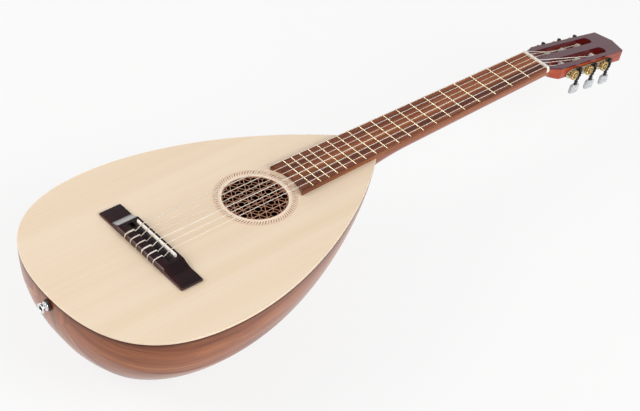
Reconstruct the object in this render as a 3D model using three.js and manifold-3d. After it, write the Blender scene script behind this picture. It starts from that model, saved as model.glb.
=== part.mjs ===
// A lute guitar: a round back of seven staves under a flat table, a fretted neck and a slotted head
// with six worm-geared tuners. Millimetres. +X runs from the head to the tail, +Y to the treble side
// and +Z up. The pieces are laid out with x = 0 at the front face of the nut and z = 0 on the top face
// of the table. The last lines move the whole guitar so that its origin is under the middle of its
// outline, on the surface it lies on.

import * as THREE from "three";
import { mergeVertices } from "three/addons/utils/BufferGeometryUtils.js";
import Module from "manifold-3d";

const wasm = await Module();
wasm.setup();

// Clearances
const glueGap = 0.3; // between pieces that are glued or seated
const runningGap = 0.3; // round a piece that turns
const overrun = 3; // how far a cutter passes the face it cuts
const mergeDistance = 1e-4;

// Scale and strings, string 1 being the thin treble string
const scaleLength = 650;
const fretCount = 19;
const bodyFret = 12;
const stringRadii = [0.36, 0.41, 0.52, 0.37, 0.45, 0.55];
const stringSpreadAtNut = 42;
const stringSpreadAtSaddle = 56;
const stringSides = 5;

// Body: outline of the table, and the round back
const bodyLength = 478.3;
const bodyWidth = 320.7;
const widestFromNeck = 319.3;
const neckEndWidth = 58;
const tailSweepShare = 0.68; // of the half width: how far the tail runs straight across
const tailShoulderShare = 0.677; // of the length from the widest place to the tail
const frontShoulderShare = 0.349; // of the length from the neck to the widest place
const frontSweepShare = 0.332; // of the same length
const neckLeaveAngle = 0.706; // radians, between the centre line and the outline at the neck
const tailSteps = 8;
const frontSteps = 11;
const boardThickness = 2.6;
const rimStripHeight = 1.8;
const rimStripWidth = 6;
const bowlDepth = 138.4; // below the rim strip, before the staves are flattened
const bowlDepthPower = 1.05; // how the depth follows the width along the body
const bowlSectionPower = 2.1; // 2 is an ellipse
const ribCount = 7;
const ribThickness = 3;
const ribCrownShare = 0.45; // of the full arc: how round a stave is across its width
const ribCrossSteps = 2;
const tailCapWidth = 74;
const tailCapSteps = 3;
const neckBlockLength = 34;
const tailBlockLength = 30;

// Sound hole
const holeFromLastFret = 68.1;
const holeRadius = 42;
const holeSegments = 36;
const roseThickness = 2;
const roseRecess = 0.5;
const roseRimWidth = 2.6;
const roseStrapWidth = 1.5;
const roseStrapPitch = 16.4;
const inlayFromHole = 1.6; // from the hole's edge
const inlayWidth = 9.6;
const inlayDepth = 1;

// Braces under the table
const upperBraceFromHole = 7.2; // from the hole's edge to the brace's middle
const lowerBraceFromHole = 12.8;
const lastBraceShare = 0.279; // of the way from the bridge to the jack
const braceWidth = 8;
const braceHeight = 14;
const braceEndHeight = 3;
const braceScoop = 42;

// Neck and fingerboard
const nutWidth = 48;
const neckDepthAtNut = 14.5;
const neckDepthBeforeHeel = 18;
const heelLength = 62;
const neckSectionPower = 2.3;
const neckCrossSteps = 12;
const neckSteps = 4;
const heelSteps = 6;
const boardFingerThickness = 7.2;
const fingerboardFromInlay = 2.8; // its hollow end runs round the inlay
const fingerboardEndSegments = 12;
const fretWidth = 2.2;
const fretCrownWidth = 1.1;
const fretHeight = 1.2;
const fretInset = 0.4; // from the fingerboard's edge
const fretShoulderShare = 0.25; // of its height, where its sides lean in

// Nut, saddle and bridge
const nutThickness = 5;
const nutRise = 2.8; // above the fingerboard's face
const nutStringRise = 0.6; // under the strings, above the frets
const nutEdge = 0.8;
const nutCrown = 1.6; // level part of the top, behind the front face
const nutBackDrop = 1.6;
const nutBreak = 0.8; // where the strings turn down, behind the front face
const nutSlotSlope = 0.42;
const nutSlotRoom = 0.6; // on each side of a string, which leaves the nut at a slant
const nutBend = 0.5;
const saddleBend = 0.7;
const saddleCompensation = 1.5;
const saddleThickness = 3;
const saddleLength = 77;
const saddleTop = 12;
const saddleSlotFloor = 4.2;
const bridgeLength = 165;
const bridgeWidth = 31;
const bridgeFront = 6.2; // from the middle of the saddle to the front edge
const bridgeRaisedLength = 91;
const bridgeScoopLength = 12;
const bridgeWingShare = 0.6; // how far along a wing its top stays level
const bridgeHeight = 8.6;
const bridgeWingHeight = 3.4;
const bridgeWingEdge = 2.4;
const tieBlockWidth = 12.4;
const channelFloor = 3.6;
const channelStart = 4.6; // behind the middle of the saddle
const tieHoleHeight = 5.4;
const tieHoleRadius = 1.3;
const tieHoleSegments = 8;
const tieStandOff = 1.5; // the loop's distance from the tie block's faces
const tieSideStep = 2.7;
const tieBend = 1.2;
const bendSteps = 2;

// Head, tilted back behind the nut. Its own frame has x = 0 behind the nut and z = 0 on its face
const headTilt = 0.1815; // radians
const headFaceDrop = 1.8; // behind the nut, below the fingerboard's face
const headRootWidth = 48.6;
const headEarWidth = 62;
const headEarPlace = 21;
const headTipWidth = 55;
const headLength = 162;
const headPoint = 8; // how far the middle of the tip stands out
const headThickness = 19;
const headRootSteps = 7;
const headRootPower = 2.4;
const headEarPower = 16;
const veneerThickness = 2;
const slotInner = 6.7; // from the centre line
const slotOuter = 21.5;
const slotStart = 23;
const slotEnd = 134;
const slotSegments = 5;
const rampStart = 8;
const rampDepth = 8;

// Tuners. Their own frame is on the side of the head, with x along it and y pointing out
const plateLength = 104;
const plateHeight = 13.4;
const plateThickness = 1.2;
const plateLeaf = 9; // the rounded end, along the plate
const plateLeafPower = 0.6;
const plateWaist = 0.16; // how much narrower the plate is between two tuners
const plateSteps = 24;
const plateFromBack = 6.5; // from the back of the head to the middle of the plate
const firstRoller = 46; // from the back of the nut
const rollerPitch = 34.6;
const rollerRadius = 5;
const rollerBore = 2.3;
const rollerSegments = 12;
const boreSegments = 8;
const rollerEndGap = 0.6;
const postRadius = 2;
const postSocket = 3.2;
const gearModule = 1;
const gearTeeth = 14;
const gearWidth = 4;
const wormPitchRadius = 3;
const wormAddendum = 0.8;
const wormDedendum = 1;
const wormThread = 1.15; // thread's thickness at the pitch line
const gearAddendum = 0.75;
const gearDedendum = 1;
const gearTooth = 1.45;
const flankSlope = 0.364; // tangent of the 20 degree flank
const wormBackShare = 0.6; // from the thread's foot to half a turn behind it
const wormTurns = 2.5;
const wormStepsPerTurn = 8;
const wormStandOff = 4.7; // worm's axis, from the plate's face
const shaftRadius = 1.6;
const shaftTop = 9.4;
const earThickness = 2;
const earWidth = 5.6;
const earReach = 2.9;
const sleeveTurns = [
  // share of the sleeve's length from the button, and radius
  [0, 2.9],
  [0.09, 2.9],
  [0.2, 1.9],
  [0.38, 2.8],
  [0.58, 1.8],
  [0.72, 2],
  [0.84, 3],
  [0.93, 3],
  [1, 2.3],
];
const buttonTop = -17.6;
const buttonHeight = 13.6;
const buttonWidth = 19;
const buttonThickness = 7.6;
const buttonSocket = 5;
const buttonSegments = 10;
const buttonPower = 0.75; // 1 is an ellipse, less is squarer
const buttonShares = [
  // width, thickness and drop of each section, from the neck to the foot
  [0.5, 0.68, 0],
  [0.74, 0.92, 0.12],
  [0.93, 1, 0.42],
  [1, 1, 0.74],
  [0.94, 0.82, 0.93],
  [0.76, 0.46, 1],
];

// How each slot's three strings are wound: roller by roller from the nut, how far in from the slot's wall
const windInsets = [3.3, 7.2, 3.7];
const windTurns = 3;
const windStepsPerTurn = 12;
const windGap = 0.8;

// End-pin jack
const jackDrop = 14;
const jackRadius = 4.6;
const jackBoreRadius = 3.3;
const jackFlangeRadius = 6.4;
const jackFlangeThickness = 2.4;
const jackReach = 11;
const jackInside = 42;
const jackSegments = 16;
const washerRadius = 7.4;
const washerThickness = 2.2;

function finish(color, roughness, metalness = 0) {
  return new THREE.MeshStandardMaterial({ color, roughness, metalness });
}

const spruce = finish("#ecd6be", 0.45);
const walnut = finish("#8c5a3c", 0.3);
const darkStrip = finish("#4a2418", 0.4);
const mahogany = finish("#7a2d1c", 0.3);
const rosewood = finish("#5b3626", 0.5);
const blackwood = finish("#1f1214", 0.25);
const roseWood = finish("#a87d55", 0.6);
const bone = finish("#f3ecdc", 0.4);
const nylon = finish("#f1ece2", 0.2);
const woundString = finish("#c9c4b8", 0.3, 0.8);
const brass = finish("#c9a04c", 0.3, 0.9);
const blackSteel = finish("#16161a", 0.35, 0.6);
const chrome = finish("#d8d8dc", 0.12, 1);
const pearl = finish("#eef0f2", 0.25);

// Places that follow from the sizes above
const bodyStart = fretPlace(bodyFret);
const tailEnd = bodyStart + bodyLength;
const holeFromNut = fretPlace(fretCount) + holeFromLastFret;
const inlayInnerRadius = holeRadius + inlayFromHole;
const inlayOuterRadius = inlayInnerRadius + inlayWidth;
const fingerboardEndRadius = inlayOuterRadius + fingerboardFromInlay;
const saddlePlace = scaleLength + saddleCompensation;
const bridgeStart = saddlePlace - bridgeFront;
const bridgeEnd = bridgeStart + bridgeWidth;
const tieFront = bridgeEnd - tieBlockWidth;
const bracePlaces = [
  holeFromNut - holeRadius - upperBraceFromHole,
  holeFromNut + holeRadius + lowerBraceFromHole,
  lerp(bridgeEnd, tailEnd - jackInside, lastBraceShare),
];
const nutHeight = boardFingerThickness + nutRise;
const plateDrop = headThickness - plateFromBack;

const guitar = new THREE.Group();
const head = new THREE.Group();
head.position.set(-nutThickness, 0, boardFingerThickness - headFaceDrop);
head.rotation.y = -headTilt;
head.updateMatrix();
guitar.add(head);

function addPiece(name, geometry, material, parent = guitar) {
  const mesh = new THREE.Mesh(geometry, material);
  mesh.name = name;
  parent.add(mesh);
  return mesh;
}

// Geometry helpers

function lerp(a, b, share) {
  return a + (b - a) * share;
}

function smooth(share) {
  const s = Math.min(Math.max(share, 0), 1);
  return s * s * (3 - 2 * s);
}

function signedPower(value, power) {
  return Math.sign(value) * Math.abs(value) ** power;
}

function range(count) {
  return Array.from({ length: count }, (_, i) => i);
}

// Points on a rounded half section, from +Y under the middle to -Y, as [y, z].
function halfSection(halfWidth, depth, power, steps) {
  return range(steps + 1).map((i) => {
    const angle = (Math.PI * i) / steps;
    return [
      halfWidth * signedPower(Math.cos(angle), 2 / power),
      -depth * signedPower(Math.sin(angle), 2 / power),
    ];
  });
}

function meshVolume(points, faces) {
  const normal = new THREE.Vector3();
  let sum = 0;
  for (const [a, b, c] of faces) sum += points[a].dot(normal.crossVectors(points[b], points[c]));
  return sum;
}

// A closed mesh of points and faces, turned so that its faces point out.
function closedGeometry(points, faces) {
  const turned = meshVolume(points, faces) < 0 ? faces.map(([a, b, c]) => [a, c, b]) : faces;
  const geometry = new THREE.BufferGeometry().setFromPoints(points);
  geometry.setIndex(turned.flat());
  return withoutSlivers(mergeVertices(geometry, mergeDistance));
}

function withoutSlivers(geometry) {
  const kept = [];
  const index = geometry.index.array;
  for (let i = 0; i < index.length; i += 3) {
    const [a, b, c] = [index[i], index[i + 1], index[i + 2]];
    if (a !== b && b !== c && c !== a) kept.push(a, b, c);
  }
  geometry.setIndex(kept);
  return geometry;
}

// A closed skin over rings of points, all with the same count, with a fan over each end.
function loft(rings) {
  const count = rings[0].length;
  const points = rings.flat();
  const faces = [];
  for (let i = 0; i < rings.length - 1; i += 1) {
    for (let j = 0; j < count; j += 1) {
      const a = i * count + j;
      const b = i * count + ((j + 1) % count);
      faces.push([a, b, b + count], [a, b + count, a + count]);
    }
  }
  for (const [ring, start, turned] of [
    [rings[0], 0, true],
    [rings.at(-1), (rings.length - 1) * count, false],
  ]) {
    const middle = new THREE.Vector3();
    for (const p of ring) middle.addScaledVector(p, 1 / count);
    points.push(middle);
    for (let j = 0; j < count; j += 1) {
      const [a, b] = [start + j, start + ((j + 1) % count)];
      faces.push(turned ? [b, a, points.length - 1] : [a, b, points.length - 1]);
    }
  }
  return closedGeometry(points, faces);
}

// A plate between two grids of points with the same rows and columns.
function plateBetween(outer, inner) {
  const rows = outer.length;
  const columns = outer[0].length;
  const points = [...outer.flat(), ...inner.flat()];
  const at = (side, i, j) => side * rows * columns + i * columns + j;
  const faces = [];
  const quad = (a, b, c, d) => faces.push([a, b, c], [a, c, d]);
  for (let i = 0; i < rows - 1; i += 1) {
    for (let j = 0; j < columns - 1; j += 1) {
      quad(at(0, i, j), at(0, i, j + 1), at(0, i + 1, j + 1), at(0, i + 1, j));
      quad(at(1, i, j), at(1, i + 1, j), at(1, i + 1, j + 1), at(1, i, j + 1));
    }
    quad(at(0, i, 0), at(0, i + 1, 0), at(1, i + 1, 0), at(1, i, 0));
    const j = columns - 1;
    quad(at(0, i + 1, j), at(0, i, j), at(1, i, j), at(1, i + 1, j));
  }
  for (let j = 0; j < columns - 1; j += 1) {
    quad(at(0, 0, j + 1), at(0, 0, j), at(1, 0, j), at(1, 0, j + 1));
    quad(at(0, rows - 1, j), at(0, rows - 1, j + 1), at(1, rows - 1, j + 1), at(1, rows - 1, j));
  }
  return closedGeometry(points, faces);
}

// A shape raised from z = low to z = high.
function slab(shape, low, high, curveSegments = holeSegments / 2) {
  const settings = { depth: high - low, bevelEnabled: false, curveSegments };
  const geometry = new THREE.ExtrudeGeometry(shape, settings);
  return geometry.translate(0, 0, low);
}

function outlineShape(points) {
  return new THREE.Shape(points.map(([x, y]) => new THREE.Vector2(x, y)));
}

function ringShape(outer, inner) {
  const shape = new THREE.Shape().absarc(0, 0, outer, 0, 2 * Math.PI);
  shape.holes.push(new THREE.Path().absarc(0, 0, inner, 0, 2 * Math.PI));
  return shape;
}

function box(lengths, centre) {
  return new THREE.BoxGeometry(...lengths).translate(...centre);
}

// A rod whose axis is along Y, from y = start to y = end.
function rodAlongY(radius, start, end, segments, x = 0, z = 0) {
  const geometry = new THREE.CylinderGeometry(radius, radius, Math.abs(end - start), segments);
  return geometry.translate(x, (start + end) / 2, z);
}

function rodAlongX(radius, start, end, segments, y = 0, z = 0) {
  const geometry = new THREE.CylinderGeometry(radius, radius, Math.abs(end - start), segments);
  return geometry.rotateZ(Math.PI / 2).translate((start + end) / 2, y, z);
}

function rodAlongZ(radius, start, end, segments, x = 0, y = 0) {
  const geometry = new THREE.CylinderGeometry(radius, radius, Math.abs(end - start), segments);
  return geometry.rotateX(Math.PI / 2).translate(x, y, (start + end) / 2);
}

// Cutting and joining

function toSolid(geometry) {
  const bare = geometry.clone();
  bare.deleteAttribute("normal");
  bare.deleteAttribute("uv");
  const merged = withoutSlivers(mergeVertices(bare, mergeDistance));
  const triVerts = new Uint32Array(merged.index.array);
  const points = range(merged.attributes.position.count).map((i) =>
    new THREE.Vector3().fromBufferAttribute(merged.attributes.position, i),
  );
  const faces = range(triVerts.length / 3).map((i) => [...triVerts.slice(3 * i, 3 * i + 3)]);
  if (meshVolume(points, faces) < 0)
    for (let i = 0; i < triVerts.length; i += 3)
      [triVerts[i + 1], triVerts[i + 2]] = [triVerts[i + 2], triVerts[i + 1]];
  return new wasm.Manifold(
    new wasm.Mesh({ numProp: 3, vertProperties: merged.attributes.position.array, triVerts }),
  );
}

function toGeometry(solid) {
  const mesh = solid.getMesh();
  const geometry = new THREE.BufferGeometry();
  geometry.setAttribute("position", new THREE.BufferAttribute(mesh.vertProperties.slice(), 3));
  geometry.setIndex([...mesh.triVerts]);
  return geometry;
}

function cut(geometry, ...cutters) {
  let solid = toSolid(geometry);
  for (const cutter of cutters) solid = solid.subtract(toSolid(cutter));
  return toGeometry(solid);
}

function join(geometry, ...others) {
  let solid = toSolid(geometry);
  for (const other of others) solid = solid.add(toSolid(other));
  return toGeometry(solid);
}

function common(geometry, other) {
  return toGeometry(toSolid(geometry).intersect(toSolid(other)));
}

// Layout shared by many pieces

function fretPlace(n) {
  return scaleLength * (1 - 2 ** (-n / 12));
}

const widestPlace = bodyStart + widestFromNeck;
const halfBody = bodyWidth / 2;
const rimHeight = -(boardThickness + rimStripHeight);

function neckHalfWidth(x) {
  return lerp(nutWidth, neckEndWidth, x / bodyStart) / 2;
}

// The outline of one half of the table, from the tail to the neck.
function makeOutline() {
  const tailRun = tailEnd - widestPlace;
  const tailCurve = new THREE.CubicBezierCurve(
    new THREE.Vector2(tailEnd, 0),
    new THREE.Vector2(tailEnd, halfBody * tailSweepShare),
    new THREE.Vector2(widestPlace + tailRun * tailShoulderShare, halfBody),
    new THREE.Vector2(widestPlace, halfBody),
  );
  const sweep = widestFromNeck * frontSweepShare;
  const frontCurve = new THREE.CubicBezierCurve(
    new THREE.Vector2(widestPlace, halfBody),
    new THREE.Vector2(widestPlace - widestFromNeck * frontShoulderShare, halfBody),
    new THREE.Vector2(
      bodyStart + sweep * Math.cos(neckLeaveAngle),
      neckEndWidth / 2 + sweep * Math.sin(neckLeaveAngle),
    ),
    new THREE.Vector2(bodyStart, neckEndWidth / 2),
  );
  return { tailCurve, frontCurve };
}

const outline = makeOutline();

// A place on the outline: u runs from 0 at the tail to 1 at the widest place and 2 at the neck.
function outlineAt(u) {
  return u <= 1 ? outline.tailCurve.getPoint(u) : outline.frontCurve.getPoint(u - 1);
}

const stations = [
  ...range(tailSteps).map((i) => i / tailSteps),
  ...range(frontSteps + 1).map((i) => 1 + i / frontSteps),
];

// The place u where the outline is that wide, on the tail side.
function tailPlaceOfWidth(halfWidth) {
  let [low, high] = [0, 1];
  for (let i = 0; i < 40; i += 1) {
    const middle = (low + high) / 2;
    if (outlineAt(middle).y < halfWidth) low = middle;
    else high = middle;
  }
  return high;
}

// The outline drawn in by inset, from the neck's treble corner round the tail to its bass corner.
function insetOutline(inset) {
  const treble = [...stations].reverse().map((u) => {
    const step = 1e-4;
    const a = outlineAt(Math.max(u - step, 0));
    const b = outlineAt(Math.min(u + step, 2));
    const along = b.sub(a).normalize();
    const p = outlineAt(u);
    return [p.x - inset * along.y, p.y + inset * along.x];
  });
  const bass = treble
    .slice(0, -1)
    .reverse()
    .map(([x, y]) => [x, -y]);
  return [...treble, ...bass];
}

// Half the width at x, inside the outline drawn in by inset.
function halfWidthAtX(x, inset) {
  const points = insetOutline(inset);
  const next = points.findIndex(([px]) => px >= x);
  const [[x0, y0], [x1, y1]] = [points[next - 1], points[next]];
  return lerp(y0, y1, (x - x0) / (x1 - x0));
}

// The round back

function depthAt(halfWidth) {
  return bowlDepth * (halfWidth / halfBody) ** bowlDepthPower;
}

function surfacePoint(u, angle) {
  const { x, y: halfWidth } = outlineAt(u);
  return new THREE.Vector3(
    x,
    halfWidth * signedPower(Math.cos(angle), 2 / bowlSectionPower),
    rimHeight - depthAt(halfWidth) * signedPower(Math.sin(angle), 2 / bowlSectionPower),
  );
}

// The direction out of the back. At the tail's tip, where the section shrinks to a point, it is along X.
function outwardAt(u, angle) {
  if (u === 0) return new THREE.Vector3(1, 0, 0);
  const step = 1e-4;
  const safeU = Math.min(u, 2 - step);
  const alongBody = surfacePoint(safeU + step, angle).sub(surfacePoint(safeU - step, angle));
  const across = surfacePoint(safeU, angle + step).sub(surfacePoint(safeU, angle - step));
  return across.cross(alongBody).normalize();
}

// A point of the back, moved in by inset.
function bowlPoint(u, angle, inset) {
  return surfacePoint(u, angle).addScaledVector(outwardAt(u, angle), -inset);
}

// The angle that a length takes up across the section at u.
function angleOf(length, u, angle) {
  const step = 1e-2;
  const span = surfacePoint(u, angle + step).distanceTo(surfacePoint(u, angle - step));
  return (2 * length * step) / span;
}

// A row of points across one stave, flatter than the section.
function staveRow(u, start, end, inset) {
  const first = bowlPoint(u, start, inset);
  const last = bowlPoint(u, end, inset);
  return range(ribCrossSteps + 1).map((i) => {
    const share = i / ribCrossSteps;
    const flat = first.clone().lerp(last, share);
    return flat.lerp(bowlPoint(u, lerp(start, end, share), inset), ribCrownShare);
  });
}

// Where the sections of the cap and of the staves are.
const capEnd = tailPlaceOfWidth(tailCapWidth / 2 - glueGap);
const capPlaces = range(tailCapSteps + 1).map((i) => (capEnd * i) / tailCapSteps);
const ribStart = tailPlaceOfWidth(tailCapWidth / 2);
const ribPlaces = [ribStart, ...stations.filter((u) => u > ribStart + 0.5 / tailSteps)];

function makeRib(number) {
  const seam = (k, u, side) => {
    const angle = (Math.PI * k) / ribCount;
    const gap = k === 0 || k === ribCount ? glueGap : glueGap / 2;
    return angle + side * angleOf(gap, u, angle);
  };
  const row = (u, inset) => staveRow(u, seam(number - 1, u, 1), seam(number, u, -1), inset);
  const rows = (inset) => ribPlaces.map((u) => row(u, inset));
  return plateBetween(rows(0), rows(ribThickness));
}

// A row of points across all of the staves, from the treble rim to the bass rim.
function backRow(u, inset) {
  const seams = range(ribCount + 1).map((k) => (Math.PI * k) / ribCount);
  const rows = range(ribCount).map((k) => staveRow(u, seams[k], seams[k + 1], inset));
  return [...rows.flatMap((row) => row.slice(0, -1)), rows.at(-1).at(-1)];
}

// What is left free above the staves, so that they stop short of the rim strip.
function roomAboveRim() {
  const reach = bodyWidth;
  return box([2 * reach, 2 * reach, reach], [tailEnd, 0, rimHeight - glueGap + reach / 2]);
}

// The cap closes the tail, where the staves run together.
function makeTailCap() {
  const rows = (inset) => capPlaces.map((u) => backRow(u, inset));
  return cut(plateBetween(rows(0), rows(ribThickness)), jackHole(), roomAboveRim());
}

// All of the space inside the staves, which the blocks are cut from.
function insideSpace(inset) {
  const rings = [...capPlaces, ...ribPlaces].map((u) => backRow(u, inset));
  rings.push(rings.at(-1).map((p) => new THREE.Vector3(bodyStart, p.y, p.z)));
  return loft(rings);
}

function blockBetween(start, end) {
  const reach = bodyWidth;
  const room = box(
    [end - start, reach, reach],
    [(start + end) / 2, 0, rimHeight - glueGap - reach / 2],
  );
  return common(insideSpace(ribThickness + glueGap), room);
}

function jackHole() {
  const radius = jackRadius + glueGap;
  return rodAlongX(radius, tailEnd - tailBlockLength * 2, tailEnd + overrun, jackSegments, 0, -jackDrop);
}

function makeBody() {
  for (const i of range(ribCount)) addPiece(`rib_${i + 1}`, makeRib(i + 1), walnut);
  addPiece("tail_cap", makeTailCap(), walnut);
  const tailBlock = blockBetween(tailEnd - tailBlockLength, tailEnd);
  addPiece("tail_block", cut(tailBlock, jackHole()), mahogany);
  addPiece("neck_block", blockBetween(bodyStart, bodyStart + neckBlockLength), mahogany);
  addPiece("rim_strip", makeRimStrip(), darkStrip);
  bracePlaces.forEach((x, i) => addPiece(`brace_${i + 1}`, makeBrace(x), spruce));
}

function makeRimStrip() {
  const outer = insetOutline(0);
  const inner = insetOutline(rimStripWidth).reverse();
  return slab(outlineShape([...outer, ...inner]), rimHeight, -boardThickness);
}

// A cross brace, scooped down to thin ends that stop short of the rim strip.
function makeBrace(x) {
  const ends = [x - braceWidth / 2, x + braceWidth / 2];
  const half = Math.min(...ends.map((end) => halfWidthAtX(end, rimStripWidth + glueGap)));
  const shape = new THREE.Shape();
  shape.moveTo(-half, 0);
  shape.lineTo(-half, -braceEndHeight);
  shape.quadraticCurveTo(-half + braceScoop / 2, -braceEndHeight, -half + braceScoop, -braceHeight);
  shape.lineTo(half - braceScoop, -braceHeight);
  shape.quadraticCurveTo(half - braceScoop / 2, -braceEndHeight, half, -braceEndHeight);
  shape.lineTo(half, 0);
  const beam = slab(shape, -braceWidth / 2, braceWidth / 2, 4);
  return beam.rotateX(Math.PI / 2).rotateZ(Math.PI / 2).translate(x, 0, -boardThickness);
}

// The table, its hole and what is let into it

function inHole(geometry) {
  return geometry.translate(holeFromNut, 0, 0);
}

function makeSoundboard() {
  const table = slab(outlineShape(insetOutline(0)), -boardThickness, 0);
  const hole = new THREE.Shape().absarc(0, 0, holeRadius, 0, 2 * Math.PI);
  const groove = ringShape(inlayOuterRadius + glueGap / 2, inlayInnerRadius - glueGap / 2);
  return cut(
    table,
    inHole(slab(hole, -boardThickness - overrun, overrun)),
    inHole(slab(groove, -inlayDepth - glueGap, overrun)),
  );
}

// The rose: straps in three directions that cross in hexagons and six-pointed stars, inside a rim.
function makeRose() {
  const outer = holeRadius - glueGap;
  const low = -roseRecess - roseThickness;
  const rim = slab(ringShape(outer, outer - roseRimWidth), low, -roseRecess);
  const middle = low + roseThickness / 2;
  const straps = [];
  const lines = Math.floor((outer - roseRimWidth) / roseStrapPitch + 0.5);
  for (const turn of range(3)) {
    for (let k = -lines; k < lines; k += 1) {
      const offset = (k + 0.5) * roseStrapPitch;
      const halfChord = Math.sqrt(Math.max((outer - roseRimWidth / 2) ** 2 - offset ** 2, 0));
      if (halfChord < roseStrapPitch / 2) continue;
      const strap = box([2 * halfChord, roseStrapWidth, roseThickness], [0, offset, middle]);
      straps.push(strap.rotateZ((Math.PI * turn) / 3));
    }
  }
  return inHole(join(rim, ...straps));
}

function makeTable() {
  const inlay = slab(ringShape(inlayOuterRadius, inlayInnerRadius), -inlayDepth, 0);
  addPiece("soundboard", makeSoundboard(), spruce);
  addPiece("rose", makeRose(), roseWood);
  addPiece("rosette_inlay", inHole(inlay), spruce);
}

// Neck and fingerboard

function neckDepth(x) {
  const heelDepth = -rimHeight + depthAt(neckEndWidth / 2);
  const plain = lerp(neckDepthAtNut, neckDepthBeforeHeel, x / bodyStart);
  const heel = Math.max((x - bodyStart + heelLength) / heelLength, 0);
  return lerp(plain, heelDepth, heel ** 2);
}

function headEndBlock(gap) {
  const reach = headLength;
  return box([reach, reach, reach], [gap - reach / 2, 0, 0]).applyMatrix4(head.matrix);
}

function makeNeck() {
  const start = -nutThickness - overrun;
  const end = bodyStart - glueGap;
  const heelStart = bodyStart - heelLength;
  const places = [start, ...range(neckSteps + 1).map((i) => (heelStart * i) / neckSteps)];
  places.push(...range(heelSteps).map((i) => lerp(heelStart, end, (i + 1) / heelSteps)));
  const rings = places.map((x) =>
    halfSection(neckHalfWidth(x), neckDepth(x), neckSectionPower, neckCrossSteps).map(
      ([y, z]) => new THREE.Vector3(x, y, z),
    ),
  );
  return cut(loft(rings), headEndBlock(glueGap));
}

// The angle, from the hole's middle, at which the hollow end meets the edge of the fingerboard.
function fingerboardEndAngle() {
  let angle = 0;
  for (let i = 0; i < 20; i += 1) {
    const x = holeFromNut - fingerboardEndRadius * Math.cos(angle);
    angle = Math.asin(neckHalfWidth(x) / fingerboardEndRadius);
  }
  return angle;
}

function fretBar(n) {
  const x = fretPlace(n);
  const half = neckHalfWidth(x) - fretInset;
  const top = boardFingerThickness + fretHeight;
  const shoulder = boardFingerThickness + fretHeight * fretShoulderShare;
  const shape = outlineShape([
    [x - fretWidth / 2, boardFingerThickness - fretHeight],
    [x + fretWidth / 2, boardFingerThickness - fretHeight],
    [x + fretWidth / 2, shoulder],
    [x + fretCrownWidth / 2, top],
    [x - fretCrownWidth / 2, top],
    [x - fretWidth / 2, shoulder],
  ]);
  return slab(shape, -half, half).rotateX(Math.PI / 2);
}

function makeFingerboard() {
  const endAngle = fingerboardEndAngle();
  const arc = range(fingerboardEndSegments + 1).map((i) => {
    const angle = lerp(-endAngle, endAngle, i / fingerboardEndSegments);
    return [holeFromNut - fingerboardEndRadius * Math.cos(angle), fingerboardEndRadius * Math.sin(angle)];
  });
  const nutEnd = [
    [0, nutWidth / 2],
    [0, -nutWidth / 2],
  ];
  const board = slab(outlineShape([...nutEnd, ...arc]), 0, boardFingerThickness);
  return join(board, ...range(fretCount).map((i) => fretBar(i + 1)));
}

// Nut, saddle and bridge

function stringAcross(index, spread) {
  return spread * (0.5 - index / (stringRadii.length - 1));
}

const nutFloor = boardFingerThickness + fretHeight + nutStringRise;

// A bar across the neck, of a profile of [x, z] points, from y = -half to y = half.
function barAcross(profile, half) {
  return slab(outlineShape(profile), -half, half).rotateX(Math.PI / 2);
}

// The nut, whose top and slots fall away behind the strings' turning point.
function makeNut() {
  const back = -nutThickness;
  const body = barAcross(
    [
      [0, 0],
      [0, nutHeight],
      [-nutCrown, nutHeight],
      [back, nutHeight - nutBackDrop],
      [back, 0],
    ],
    neckHalfWidth(0),
  );
  const far = back - overrun;
  const slotProfile = [
    [overrun, nutFloor],
    [overrun, nutHeight + overrun],
    [far, nutHeight + overrun],
    [far, nutFloor + (far + nutBreak) * nutSlotSlope],
    [-nutBreak, nutFloor],
  ];
  const slots = stringRadii.map((radius, i) =>
    barAcross(slotProfile, radius + nutSlotRoom).translate(0, stringAcross(i, stringSpreadAtNut), 0),
  );
  return cut(body.translate(-glueGap / 2, 0, 0), ...slots);
}

// The saddle: a blade with a round top and round ends.
function makeSaddle() {
  const half = saddleLength / 2;
  const edge = saddleThickness / 2;
  const low = saddleSlotFloor + glueGap;
  const blade = barAcross(
    [
      [-edge, low],
      [-edge, saddleTop - edge],
      [-edge / 2, saddleTop - edge / 4],
      [0, saddleTop],
      [edge / 2, saddleTop - edge / 4],
      [edge, saddleTop - edge],
      [edge, low],
    ],
    half,
  );
  return blade.translate(saddlePlace, 0, 0);
}

// The bridge seen from the front: a raised middle that sweeps down to low wings.
function bridgeShape() {
  const half = bridgeLength / 2;
  const raised = bridgeRaisedLength / 2;
  const level = lerp(raised, half, bridgeWingShare);
  const scoopFoot = raised + bridgeScoopLength;
  const scoopTurn = raised + bridgeScoopLength / 4;
  const shape = new THREE.Shape();
  shape.moveTo(-half, 0);
  shape.lineTo(half, 0);
  shape.lineTo(half, bridgeWingEdge);
  shape.quadraticCurveTo(level, bridgeWingHeight, scoopFoot, bridgeWingHeight);
  shape.quadraticCurveTo(scoopTurn, bridgeWingHeight, raised, bridgeHeight);
  shape.lineTo(-raised, bridgeHeight);
  shape.quadraticCurveTo(-scoopTurn, bridgeWingHeight, -scoopFoot, bridgeWingHeight);
  shape.quadraticCurveTo(-level, bridgeWingHeight, -half, bridgeWingEdge);
  return shape;
}

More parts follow.
